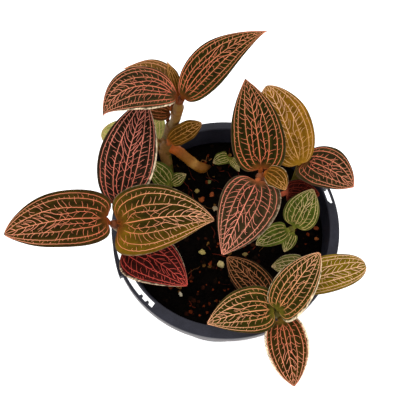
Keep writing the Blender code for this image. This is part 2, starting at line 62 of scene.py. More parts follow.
# Pot
POT_HEIGHT = 88.0
MOUTH_RADIUS = 47.5
FLOOR_RADIUS = 34.5
WALL = 1.0
FLOOR = 1.6
RIM_RADIUS = 52.5
FLANGE_DROP = 2.2
SKIRT_HEIGHT = 7.5
SKIRT_WALL = 1.0
SKIRT_DRAFT = 0.3
FOOT_BEVEL = 0.8
MOUTH_ROUND = 0.55
RIM_ROUND = 0.7
SKIRT_ROUND = 0.3
FOOT_ROUND = 1.0
SHARP_ANGLE = 38.0
POT_STEPS = 160
DRAIN_RADIUS = 3.2
DRAIN_CIRCLE = 25.0
DRAIN_COUNT = 6
DRAIN_START = 11.0
SLOT_IN = 48.7
SLOT_OUT = 51.1
SLOT_STARTS = (18.0, 198.0)
SLOT_SWEEP = 36.0
SLOT_TEETH = (28.0, 32.5)
TOOTH_HALF = 0.6
TOOTH_REACH = 1.0
SLOT_DEPTH = 3.0
NOTCH_START = 14.0
NOTCH_SWEEP = 14.0
NOTCH_CLEAR = 0.2
NOTCH_IN = 50.4
NOTCH_OUT = 54.0
CLIP_START = 196.0
CLIP_SWEEP = 15.5
CLIP_IN = 51.8
CLIP_OUT = 53.9
CLIP_DROP = 0.4
CLIP_HEIGHT = 4.0

# Potting mix
SOIL_TOP = 77.0
SOIL_CLEAR = 0.4
SOIL_LUMP = 0.9
SOIL_GRID = (46, 132)
SWELL = 11.0
GRAIN_RISE = 0.1
CHIP_RISE = 0.15
CHIP_GROWTH = 1.12
GRAIN_COUNT = 1500
GRAIN_SIZES = (0.8, 2.6)
FIBRE_COUNT = 50
FIBRE_REACH = 40.0
FIBRE_SIZES = (0.12, 0.3)
FIBRE_STEPS = (8, 22)
FIBRE_STEP = 0.7
HOLE_FLOOR = 65.0

# Stems
STEM_FOOT = 78.5
STEM_END = 0.8
SHEATH_LENGTH = 6.5
SHEATH_RISE = 1.2
NODE_HALF = 1.1
NODE_SWELL = 0.18

# Blades
MAIN_VEINS = (0.40, 0.71, 0.88)
PLEATS = (0.35, 0.28, 0.14, 0.0)
NARROW_LEAF = 12.0
NARROW_VEINS = (0.42, 0.75)
SMALL_LEAF = 20.0
SMALL_GRID = (34, 12)
LARGE_GRID = (64, 20)
MIDRIB_STEPS = 24
LOBE_PEAK = 0.238
NECK = 0.004
FOLD_REACH = 2.0
SWAY_SHIFT = 1.7
PETIOLE_HALF = 1.2
PETIOLE_START = 0.75
PETIOLE_BEND = 0.35
CHANNEL = 0.35
BLADE_THICKNESS = 0.7
RING = 0.72
FINE_THICKNESS = 0.55
STALK_THICKNESS = 0.65
VEIN_WIDTH = 0.47
VEIN_FOOT = 0.275
VEIN_SINK = 0.12
MEETING = 0.38
NET_START = 0.015
NET_END = 0.985
NET_EDGE = 0.955
T_LOW = 1e-4
T_HIGH = 0.999
YOUNG_HUB = (98, 94, 36)

# Where the random draws start
SHOOT_SEED = 11
YOUNG_SEED = 101
TONE_SEED = 500
GRAIN_SEED = 5
FIBRE_SEED = 9


@dataclass
class Stem:
    """A fleshy stem: the points of its route from the soil up, its radius there and at the top, and
    the screen colour of its nodes and tip."""
    path: tuple
    low: float = 2.6
    top: float = 2.1
    node: tuple = (98, 48, 18)

    def route(self):
        x, y, _ = self.path[0]
        return np.vstack([(x, y, HOLE_FLOOR), smooth_path(self.path)])

    def radii(self):
        count = len(self.route())
        radii = [self.low + (self.top - self.low) * i / (count - 1) for i in range(count)]
        radii[-1] *= STEM_END
        return radii

    def at(self, z):
        """Centre, direction and radius at a height."""
        route = self.route()
        low = max(i for i in range(len(route) - 1) if route[i][2] <= z)
        run = route[low + 1] - route[low]
        part = (z - route[low][2]) / run[2]
        return route[low] + run * part, unit(run), self.radii()[low]


@dataclass
class Leaf:
    """One blade on its petiole, with the design values of the solid it stands for, and its look.

    look names its palette, cream how strong the ragged painted highlight along its right and left
    margins is, warm how golden its right half and base are, and hub the screen colour of its petiole and
    the blade's very base.
    """
    base: tuple
    heading: float
    pitch: float
    length: float
    width: float
    joint: float
    droop: float = 10.0
    turn: float = 0.0
    late: float = 1.0
    roll: float = 0.0
    twist: float = 0.0
    belly: float = 0.38
    round: float = 0.55
    lobe: float = 0.10
    lean: float = 0.0
    skew: float = 0.0
    pinch: float = 0.0
    cup: float = 12.0
    fold: float = 0.5
    wave: float = 0.5
    waves: float = 2.0
    phase: float = 0.0
    side: float = None
    petiole: float = PETIOLE_HALF
    slot: str = "leaf_olive"
    look: str = "olive"
    cream: tuple = (0.0, 0.0)
    warm: float = 0.0
    hub: tuple = (98, 38, 12)


def young_leaf(*values, look="green", **named):
    """A leaf of a young shoot."""
    return Leaf(*values, slot="leaf_green", look=look, hub=YOUNG_HUB, **named)


STEMS = {
    "back": Stem(((-28.9, 26.5, STEM_FOOT), (-31, 33.5, 90), (-29.5, 38, 102), (-26.8, 38.6, 114),
                  (-25.2, 39.2, 133))),
    "left": Stem(((-34, -9, STEM_FOOT), (-39, -10.5, 92), (-45, -12.5, 106), (-48.5, -13.4, 115.5))),
    "centre": Stem(((13, 10, STEM_FOOT), (13, 11, 95), (12.6, 12, 110), (12.6, 12, 121)),
                   node=(116, 60, 26)),
    "right": Stem(((31, 25.5, STEM_FOOT), (31.3, 25.6, 92), (31.2, 25.3, 106.5))),
    "front": Stem(((21, -32, STEM_FOOT), (22, -36, 90), (24.6, -42.9, 101.5)), node=(84, 74, 24)),
}
RHIZOME = ((-31, 34.2, 91.5), (-26.4, 34, 90.5), (-20.3, 31, 87.2), (-14.2, 28.8, 82.8),
           (-9.6, 31.2, 79.9))
RHIZOME_RADIUS = 2.4
RHIZOME_END = [1.5, 0.7]

LEAVES = {
    "back": (
        Leaf((-23.6, 38.8, 137.8), 66, 10, 49, 18.5, 133.6, droop=14, turn=-42, lobe=0.03, lean=-1.0,
             belly=0.36, round=0.7, skew=-0.15, pinch=-0.2, side=10),
        Leaf((-27, 38, 139.8), 151, 12, 42, 20.8, 133.7, droop=80, turn=84, lobe=0.05, lean=1.0, skew=0.07,
             belly=0.41, round=1.0, pinch=0.2, cup=-5, side=215, cream=(0, 1), look="brown"),
        Leaf((-27.9, 42.8, 127.5), 127, 15, 29, 16.5, 121.5, droop=45, turn=46, lobe=0.0, round=0.85,
             side=165, look="tan"),
        Leaf((-26.8, 44.9, 131.4), 118, 38, 13, 6, 125.4, droop=10, cup=50, lobe=0.0, side=75, round=0.8,
             look="young_ochre"),
        Leaf((-30.5, 41.9, 112.5), 172, -5, 15, 9, 107, droop=10, side=140, look="bronze"),
        Leaf((-28.5, 30.6, 108), 27, 30, 17, 10, 97, droop=6, roll=45, lobe=0.0, belly=0.45, side=-70,
             skew=0.15, petiole=1.8, slot="leaf_ochre", look="young_ochre", hub=(140, 70, 28)),
        Leaf((-35.4, 34.6, 91.4), 97, 8, 18, 9, 89.6, lobe=0.0, round=0.9, belly=0.5, side=175,
             slot="leaf_lime", look="lime"),
        Leaf((-43, 35, 97.5), 178, 4, 18, 14, 94.5, droop=10, belly=0.5, side=190, slot="leaf_lime",
             look="lime"),
    ),
    "left": (
        Leaf((-52.5, -12.8, 120), 184, 4, 43.5, 26, 115.8, droop=14, turn=20, lobe=0.13, belly=0.4,
             look="umber"),
        Leaf((-45, -14, 118), 14, 10, 40.7, 31.4, 116.5, droop=26, turn=-22, late=3, belly=0.33, lobe=0.16,
             lean=-0.1, skew=0.02, pinch=-0.1, look="gold", warm=1.0, cream=(0.15, 0.15)),
        Leaf((-47.5, -3, 112), 88, 12, 48.5, 25.5, 106, turn=-12, belly=0.42, lobe=0.03, round=0.62,
             look="dusky", cream=(1, 0)),
        Leaf((-43.2, -19.3, 106), -16, -8, 33, 23.5, 100, droop=16, turn=-20, belly=0.34, lobe=0.03,
             side=-80, skew=-0.02, pinch=-0.5, round=0.5, slot="leaf_maroon", look="maroon",
             cream=(0.75, 0.55)),
    ),
    "centre": (
        Leaf((12.3, 15.3, 124), 100, 14, 40.5, 23.5, 122, droop=12, turn=9, belly=0.35,
             hub=(122, 56, 22)),
        Leaf((10.9, 8.8, 122.5), -112, -6, 35, 25.7, 122, droop=22, turn=2, belly=0.34, lobe=0.09, lean=0.5,
             skew=0.2, look="grey", cream=(0.1, 0.35), hub=(128, 62, 30)),
        Leaf((14.8, 12.3, 126), -20, 10, 11.5, 10, 122, droop=30, turn=-40, lobe=0.0, side=10,
             slot="leaf_ochre", look="young_ochre", cream=(0.6, 0.6), hub=(122, 60, 24)),
        Leaf((26.5, 14.5, 98), 2, 4, 14.5, 12.5, 92, slot="leaf_maroon", look="claret",
             hub=(160, 78, 52)),
    ),
    "right": (
        Leaf((29.9, 24, 111.6), 114, 15, 38, 24, 107.5, droop=8, turn=8, belly=0.46, round=0.6, lobe=0.06,
             pinch=0.2, side=190, slot="leaf_ochre", look="ochre", hub=(128, 94, 26)),
        Leaf((33.6, 26, 109.6), -12, 0, 24, 20.6, 107.2, turn=-22, lobe=0.15, lean=-0.6, droop=18,
             pinch=-0.2, side=10, look="brown", hub=(112, 58, 22)),
    ),
    "front": (
        Leaf((25, -42.2, 106.4), 62, 10, 31, 18.5, 102.8, turn=-8, lobe=0.12, skew=-0.1, lean=-0.5,
             side=60, look="moss", cream=(1.1, 0.6), hub=(92, 82, 24)),
        Leaf((22.3, -42.4, 104.8), -174, 0, 29, 21, 102.7, droop=16, turn=20, skew=-0.08, belly=0.34,
             side=170, look="moss", hub=(92, 82, 24)),
        Leaf((27, -46.6, 102.6), -71, -16, 29, 19, 99.5, droop=14, turn=-3, side=-60, look="umber",
             cream=(1.5, 1.4), hub=(104, 78, 28)),
        # This low leaf takes the painted-shade copy of the moss look.
        Leaf((20, -33, 93), 138, 0, 25, 16, 85, droop=8, look="moss_in_shade"),
        Leaf((30.5, -27.4, 95), 20, 2, 35.5, 17, 84, droop=8, lobe=0.04, round=0.5, belly=0.5, side=30,
             slot="leaf_ochre", look="lemon", hub=(124, 104, 34)),
    ),
}

YOUNG_SHOOTS = {
    "young_right": (
        Stem(((30, 0.4, STEM_FOOT), (29.3, -2.2, 97)), 1.8, 1.5),
        (
            young_leaf((30.6, -1.2, 98.5), 66, 20, 18.8, 16, 93.5, droop=18, turn=4, belly=0.36, lobe=0.06),
            young_leaf((26.9, -3.7, 98), -158, 0, 15.2, 10.3, 94, droop=20, turn=14, lobe=0.06),
            young_leaf((29.8, -4.7, 96.5), -111, 0, 8.8, 6.4, 92, droop=30, lobe=0.06),
        ),
    ),
    "young_left": (
        Stem(((-28, 19.3, STEM_FOOT), (-28, 19.3, 82)), 1.5, 1.2),
        (
            young_leaf((-28.8, 19.6, 83.6), 145, 38, 14, 11, 80.5, droop=16, lobe=0.05),
            young_leaf((-26.8, 20, 82.5), 38, 10, 8, 6.5, 80, lobe=0.05),
        ),
    ),
    "young_front": (
        Stem(((37.5, -15.5, STEM_FOOT), (38, -16.6, 91)), 1.5, 1.2),
        (
            young_leaf((35.5, -17.2, 92), 186, 0, 14, 10, 89, droop=15, lobe=0.06, look="pale",
                       cream=(0.6, 0.6)),
        ),
    ),
    "seedling_back": (
        Stem(((-0.5, 35.5, STEM_FOOT), (-0.5, 35.5, 80.5)), 1.2, 1.0),
        (
            young_leaf((-2, 36, 81), 205, 20, 7.5, 6.5, 80, droop=60),
            young_leaf((0, 35, 81), -50, 10, 7, 4, 80, droop=40),
        ),
    ),
}

# Stones and bark chips: x, y, size and flatness
CHIPS = (
    (-9.9, -10.9, 2.2, 0.9), (-0.7, -15.9, 3.4, 0.8), (-14.8, 19.3, 2.2, 0.7), (-5.6, 11.1, 1.8, 0.7),
    (-18.0, -31.5, 1.8, 0.7), (42.8, 0.5, 2.2, 0.8), (-9.5, 24.4, 1.6, 0.7), (-12.1, 15.1, 2.8, 0.6),
    (-19.2, -28.0, 2.4, 0.5), (42.4, 5.9, 1.8, 0.6), (10.1, -10.1, 1.8, 0.7), (-7.6, 18.0, 2.4, 0.5),
)


def colour(red, green, blue):
    """A colour given as it looks on a screen, 0 to 255, as linear values."""
    return np.array([((c / 255 + 0.055) / 1.055) ** 2.4 if c > 10 else c / 3295 for c in (red, green, blue)])


def colours(tones):
    return [colour(*tone) for tone in tones]


# Each look: cells between the veins, lamina near the veins, veins at the base, veins at the tip
LOOKS = {
    "olive": ((20, 17, 2), (50, 46, 10), (198, 102, 70), (212, 130, 94)),
    "umber": ((30, 22, 3), (64, 46, 12), (206, 108, 76), (226, 144, 110)),
    "brown": ((28, 22, 9), (60, 48, 22), (200, 104, 78), (216, 134, 104)),
    "bronze": ((52, 32, 10), (84, 52, 20), (190, 98, 58), (220, 140, 98)),
    "tan": ((70, 50, 16), (106, 72, 32), (198, 124, 82), (220, 152, 112)),
    "gold": ((32, 26, 3), (66, 55, 12), (208, 122, 80), (232, 164, 126)),
    "dusky": ((18, 11, 5), (50, 36, 22), (200, 104, 84), (222, 132, 112)),
    "maroon": ((34, 10, 6), (66, 22, 18), (186, 66, 56), (200, 80, 68)),
    "claret": ((36, 10, 6), (58, 16, 10), (104, 36, 22), (126, 46, 30)),
    "grey": ((34, 26, 12), (66, 52, 32), (206, 112, 90), (228, 142, 118)),
    "ochre": ((96, 64, 6), (124, 86, 22), (190, 140, 84), (224, 172, 132)),
    "young_ochre": ((56, 36, 2), (84, 56, 10), (150, 92, 34), (190, 134, 78)),
    "moss": ((28, 26, 2), (58, 54, 12), (204, 130, 84), (228, 162, 122)),
    # A darker copy of moss: painted shade for a low leaf.
    "moss_in_shade": ((14, 10, 1), (36, 28, 6), (164, 96, 62), (190, 122, 82)),
    "lemon": ((84, 68, 8), (116, 92, 26), (206, 150, 96), (232, 184, 148)),
    "green": ((46, 56, 10), (78, 88, 30), (186, 154, 98), (212, 182, 132)),
    "pale": ((62, 66, 24), (94, 94, 46), (190, 156, 108), (212, 178, 134)),
    "lime": ((122, 126, 58), (148, 146, 82), (186, 150, 100), (200, 160, 114)),
}
LOOKS = {name: colours(tones) for name, tones in LOOKS.items()}
# Pale grey-pink band along each blade's very edge: a painted sheen.
EDGE_SHEEN = colour(104, 80, 64)
# Cream of the painted highlight along the leaf margins.
GLINT_CREAM = colour(238, 212, 176)
UNDERSIDE = colour(96, 40, 34)
GOLDEN = colour(112, 80, 10)
STEM_LOW = colour(84, 78, 26)
STEM_HIGH = colour(114, 82, 38)
SHEATH = colour(110, 74, 36)
RHIZOME_TONES = colours(((168, 78, 24), (126, 78, 22), (64, 36, 12), (178, 132, 66)))
PLASTIC_TOP = colour(34, 34, 42)
# The skirt's lighter plastic is painted light, reflected up from the pale floor.
PLASTIC_SKIRT_LIT = colour(84, 76, 78)
SOIL = colour(5, 3, 2)
GRAINS = colours(((4, 3, 2), (8, 5, 3), (16, 8, 4), (38, 15, 7), (88, 34, 13), (98, 66, 30)))
GRAIN_SHARES = (0.46, 0.27, 0.12, 0.07, 0.055, 0.025)
CHIP_TONES = colours((
    (176, 158, 92), (196, 176, 120), (132, 112, 60), (150, 130, 100), (186, 176, 150), (150, 84, 40),
    (104, 100, 56), (126, 60, 24), (112, 70, 34), (146, 70, 34), (120, 100, 58), (130, 64, 30),
))
ROOT_TONES = colours(((88, 28, 12), (110, 72, 36)))


def unit(vectors):
    return vectors / np.maximum(np.linalg.norm(vectors, axis=-1, keepdims=True), 1e-9)


def smooth_path(points, spans=3):
    """Points on a smooth curve through the given ones."""
    pts = [np.array(p, float) for p in points]
    ends = [2 * pts[0] - pts[1]] + pts + [2 * pts[-1] - pts[-2]]
    out = []
    for a, b, c, d in zip(ends, ends[1:], ends[2:], ends[3:]):
        for k in range(spans):
            t = k / spans
            out.append(0.5 * (2 * b + (c - a) * t + (2 * a - 5 * b + 4 * c - d) * t ** 2
                              + (3 * b - a - 3 * c + d) * t ** 3))
    out.append(pts[-1])
    return np.array(out)


# Blades

def directions(heading, pitch, roll):
    """Tangent, left side and upper normal of a blade, from angles in radians."""
    level = np.cos(pitch)
    along = np.stack([level * np.cos(heading), level * np.sin(heading), np.sin(pitch)], axis=-1)
    side = np.stack([-np.sin(heading), np.cos(heading), np.zeros_like(heading)], axis=-1)
    up = np.cross(along, side)
    cr = np.cos(roll)[..., None]
    sr = np.sin(roll)[..., None]
    return along, side * cr + up * sr, up * cr - side * sr


def midrib(leaf, s):
    """Midrib points and frames at the distances s from the blade's base, straight behind it."""
    k = np.clip(s / leaf.length, 0.0, 1.0)
    grid = np.linspace(0.0, 1.0, MIDRIB_STEPS + 1)
    mid = (grid[:-1] + grid[1:]) / 2
    run, _, _ = directions(np.radians(leaf.heading + leaf.turn * mid ** leaf.late),
                           np.radians(leaf.pitch - leaf.droop * mid), np.zeros_like(mid))
    path = np.vstack([np.zeros(3), np.cumsum(run, axis=0) * leaf.length / MIDRIB_STEPS])
    points = np.stack([np.interp(k, grid, path[:, i]) for i in range(3)], axis=-1)
    along, side, up = directions(np.radians(leaf.heading + leaf.turn * k ** leaf.late),
                                 np.radians(leaf.pitch - leaf.droop * k),
                                 np.radians(leaf.roll + leaf.twist * k))
    points = points + along * np.minimum(s, 0.0)[..., None]
    return points + np.array(leaf.base, float), side, up


def half_width(leaf, t, u):
    """Width of one half: blunt at the base, widest at the belly, pointed at the tip."""
    sharp = leaf.round * (1.0 - leaf.belly) / leaf.belly
    form = (t / leaf.belly) ** leaf.round * ((1.0 - t) / (1.0 - leaf.belly)) ** sharp
    uneven = 1.0 + leaf.skew * u * np.sqrt(t) + leaf.pinch * u * (1.0 - t) ** 4
    return leaf.width / 2 * form * uneven + leaf.petiole * (1.0 - t) ** 8


def relief(leaf, t, u):
    """Pleats between the main veins, which lie in shallow grooves."""
    knots = (0.0, *MAIN_VEINS, 1.0)
    size = np.abs(u)
    rise = np.zeros_like(size)
    for low, high, height in zip(knots, knots[1:], PLEATS):
        rise += height * np.sin(math.pi * np.clip((size - low) / (high - low), 0.0, 1.0))
    return rise * np.sin(math.pi * np.clip(t, 0.0, 1.0)) ** 0.7 * leaf.width / 25


def blade(leaf, t, u):
    """Blade points at t from base to tip and u from the right edge, -1, to the left edge, 1."""
    t, u = np.broadcast_arrays(np.asarray(t, float), np.asarray(u, float))
    lobe = leaf.lobe * (1.0 + leaf.lean * u) * np.sqrt(t + NECK) * (1.0 - t) ** 3 / LOBE_PEAK
    w = half_width(leaf, t, u)
    points, side, up = midrib(leaf, leaf.length * (t - lobe * u * u))
    a = w * u
    bend = math.radians(leaf.cup) / (leaf.width / 2)
    y = np.sin(bend * a) / bend
    z = (1.0 - np.cos(bend * a)) / bend + leaf.fold * (1.0 - np.exp(-np.abs(a) / FOLD_REACH))
    sway = np.sin(2 * math.pi * (leaf.waves * t + leaf.phase) + SWAY_SHIFT * (u > 0))
    z = z + leaf.wave * np.abs(u) ** 3 * sway * w / (leaf.width / 2) + relief(leaf, t, u)
    return points + side * y[..., None] + up * z[..., None]


def petiole_root(leaf, stem, joined_on):
    """Where the petiole begins, inside a stem it is joined to or else clear of it, and its way out."""
    azimuth = math.radians(leaf.heading if leaf.side is None else leaf.side)
    out = np.array([math.cos(azimuth), math.sin(azimuth), 0.0])
    top = stem.route()[-1]
    if leaf.joint > top[2]:
        return np.array([top[0], top[1], leaf.joint]) + out * RING * stem.top, out
    centre, along, radius = stem.at(leaf.joint)
    if joined_on:
        return centre, out
    away = unit(out - along * np.dot(out, along))
    return centre + away * (radius + BLADE_THICKNESS / 2 + GAP), out


def petiole(leaf, root, out, q):
    """Centre of the petiole, and its left edge from there, at q from the stem, 0, to the blade, 1."""
    base, side, up = (row[0] for row in midrib(leaf, np.zeros(1)))
    chord = base - root
    reach = PETIOLE_BEND * np.linalg.norm(chord)
    p1 = root + np.array([0.0, 0.0, reach]) + out * reach * 0.3
    p2 = base - unit(np.cross(side, up) + unit(chord)) * reach
    centre = (1 - q) ** 3 * root + 3 * q * (1 - q) ** 2 * p1 + 3 * q ** 2 * (1 - q) * p2 + q ** 3 * base
    across = unit(np.array([-out[1], out[0], 0.0]) * (1 - q) + side * q)
    return centre, across * (leaf.petiole * (PETIOLE_START + (1 - PETIOLE_START) * q))


# Meshes: a shape is its points, its faces and the colour of each point

def link(obj):
    bpy.context.scene.collection.objects.link(obj)


def mesh_object(name, verts, faces, material, smooth=True, edges=()):
    """A mesh object in metres from millimetre points."""
    mesh = bpy.data.meshes.new(name)
    mesh.from_pydata([tuple(v) for v in np.asarray(verts) * MM], edges, faces)
    if smooth:
        mesh.shade_smooth()
    mesh.materials.append(material)
    obj = bpy.data.objects.new(name, mesh)
    link(obj)
    return obj


def paint(mesh, shades):
    """Each point of the mesh gets its own colour."""
    layer = mesh.color_attributes.new("shade", "FLOAT_COLOR", "POINT")
    values = np.ones((len(shades), 4), np.float32)
    values[:, :3] = shades
    layer.data.foreach_set("color", values.ravel())


def piece(obj, node, slot):
    """The object rides on the body and stands for the node, if one is given; slot is not used."""
    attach(obj, "root")
    if node:
        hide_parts(node)


def add_piece(name, shape, material, node, slot, smooth=True):
    """A finished piece of the shape."""
    verts, faces, shades = shape
    obj = mesh_object(name, verts, faces, material, smooth)
    paint(obj.data, shades)
    piece(obj, node, slot)


def joined(parts):
    """Several shapes put together."""
    verts, faces, shades = [], [], []
    start = 0
    for part_verts, part_faces, part_shades in parts:
        verts.append(part_verts)
        shades.append(part_shades)
        faces += [tuple(i + start for i in face) for face in part_faces]
        start += len(part_verts)
    return np.vstack(verts), faces, np.vstack(shades)


def closed_sheet(points, thickness):
    """Points and faces of a closed sheet around a grid of points: its upper face, lower face and edge."""
    rows, columns = points.shape[:2]
    normal = unit(np.cross(np.gradient(points, axis=0), np.gradient(points, axis=1)))
    half = normal * thickness[..., None] / 2
    verts = np.vstack([(points + half).reshape(-1, 3), (points - half).reshape(-1, 3)])
    count = rows * columns
    faces = []
    for i in range(rows - 1):
        for a in range(i * columns, (i + 1) * columns - 1):
            faces.append((a, a + columns, a + columns + 1, a + 1))
            faces.append((a + count + 1, a + count + columns + 1, a + count + columns, a + count))
    ring = [i * columns for i in range(rows)]
    ring += [(rows - 1) * columns + j for j in range(1, columns)]
    ring += [i * columns + columns - 1 for i in range(rows - 2, -1, -1)]
    ring += list(range(columns - 2, 0, -1))
    faces += [(b, a, a + count, b + count) for a, b in zip(ring, ring[1:] + ring[:1])]
    return verts, faces


def tube_faces(rings, sides):
    """The two ends and the walls of a closed tube."""
    last = (rings - 1) * sides
    faces = [tuple(range(sides - 1, -1, -1)), tuple(range(last, last + sides))]
    for a in range(0, last, sides):
        faces += [(a + k, a + (k + 1) % sides, a + (k + 1) % sides + sides, a + k + sides)
                  for k in range(sides)]
    return faces


def tube(path, radii, shades, sides=20, ridges=0.0):
    """The shape of a closed tube through the points, of one colour or one for each point."""
    path = np.asarray(path, float)
    run = unit(np.gradient(path, axis=0))
    helper = np.array([0.0, 1.0, 0.0]) if abs(run[0][1]) < 0.8 else np.array([1.0, 0.0, 0.0])
    verts = []
    angles = np.arange(sides) * 2 * math.pi / sides
    for point, axis, radius in zip(path, run, radii):
        first = unit(np.cross(axis, helper))
        second = np.cross(axis, first)
        helper = np.cross(first, axis)
        grow = radius * (1 + ridges * np.sin(5 * angles))
        verts.append(point + np.outer(grow * np.cos(angles), first) + np.outer(grow * np.sin(angles), second))
    return np.vstack(verts), tube_faces(len(path), sides), np.repeat(shades + 0 * path, sides, axis=0)


def noise_at(along, across, scale, seed):
    """Smooth noise, about -1 to 1, at each pair of values of two arrays."""
    pairs = zip(np.ravel(along) * scale, np.ravel(across) * scale)
    return np.array([noise.noise(Vector((x, y, seed))) for x, y in pairs]).reshape(along.shape)


def smooth_step(value, low, high):
    part = np.clip((value - low) / (high - low), 0.0, 1.0)
    return part * part * (3 - 2 * part)


def blend_colour(first, second, amount):
    return first + (second - first) * np.asarray(amount)[..., None]


# Leaves

def lamina_shades(leaf, t, u, seed):
    """The colour of each point of the upper face."""
    cell, near, _, _ = LOOKS[leaf.look]
    w = half_width(leaf, np.clip(t, 0.0, 1.0), u)
    gap = np.min([np.abs(np.abs(u) - k) for k in (0.0, *MAIN_VEINS)], axis=0) * w
    x = leaf.length * t
    cloud = noise_at(x, w * u, 0.28, seed)
    fine = noise_at(x, w * u, 0.9, seed + 3.0)
    close = 0.75 * np.exp(-(gap / 0.7) ** 2) + 0.25 * (fine + 0.3)
    shade = blend_colour(cell, near, close) * (1.0 + 0.35 * cloud)[..., None]
    warm = leaf.warm * np.clip(smooth_step(-u, 0.1, 1.3) + smooth_step(0.25 - t, 0.0, 0.35), 0, 1)
    shade = blend_colour(shade, GOLDEN, 0.6 * warm)
    shade = blend_colour(shade, colour(*leaf.hub) * 0.5 + cell, 0.75 * (1.0 - smooth_step(t, 0.0, 0.07)))
    size = np.abs(u)
    # Painted sheen: a thin pale band along the very edge of the blade.
    shade = blend_colour(shade, EDGE_SHEEN * 0.6 + near * 0.4, 0.6 * smooth_step(size, 0.965, 0.995))
    # Ragged cream flecks along the margins and round the tip: a painted highlight where light catches the
    # curled edge.
    ragged = noise_at(x, 4 * u, 0.9, seed + 7.0)
    speckle = noise_at(x, 9 * u, 2.3, seed + 9.0)
    amount = np.where(u > 0, leaf.cream[1], leaf.cream[0])
    inner = 0.985 - 0.055 * amount
    glint_mask = smooth_step(size + 0.05 * ragged, inner, inner + 0.04) * (0.6 + 1.1 * speckle)
    glint_mask = np.clip(amount * glint_mask * smooth_step(t, 0.0, 0.12), 0.0, 0.95)
    tip = 0.6 * smooth_step(t, 0.9, 0.99) * smooth_step(size, 0.9, 0.97)
    return blend_colour(shade, GLINT_CREAM, np.maximum(glint_mask, tip))


def blade_part(leaf, stem, seed, joined_on):
    """The shape of the closed blade with its petiole."""
    rows, half = SMALL_GRID if leaf.length < SMALL_LEAF else LARGE_GRID
    q = np.linspace(0.0, 1.0, 9)[:-1]
    t = np.linspace(0.0, 1.0, rows + 1) ** 1.25 * 0.996
    x = np.arange(-half, half + 1) / half
    u = np.sign(x) * (1.0 - (1.0 - np.abs(x)) ** 1.15)
    root, out = petiole_root(leaf, stem, joined_on)
    channel = np.array([0.0, 0.0, CHANNEL])
    stalk = []
    for k in q:
        centre, edge = petiole(leaf, root, out, k)
        stalk.append([centre + edge * v + channel * v * v * (1 - k) for v in u])
    points = np.vstack([np.array(stalk), blade(leaf, t[:, None], u)])
    width = np.tile(u, (len(points), 1))
    place = np.concatenate([-(1 - q) * 0.2, t])[:, None] + 0 * width
    thick = FINE_THICKNESS + STALK_THICKNESS * (1 - smooth_step(place, -0.05, 0.10)) * (1 - 0.4 * width ** 2)
    thick = thick * (1.0 - 0.55 * np.abs(width) ** 6) * (1 - 0.4 * smooth_step(place, 0.8, 1.0))
    near = LOOKS[leaf.look][1]
    stalk_tone = colour(*leaf.hub) + near * 0.3
    upper = lamina_shades(leaf, np.clip(place, 0.0, 1.0), width, seed)
    upper = blend_colour(upper, stalk_tone, 1.0 - smooth_step(place, -0.03, 0.02))
    under = blend_colour(0.35 * near + 0.65 * UNDERSIDE, stalk_tone,
                         1.0 - smooth_step(place, -0.03, 0.05))
    return *closed_sheet(points, thick), np.vstack([upper.reshape(-1, 3), under.reshape(-1, 3)])


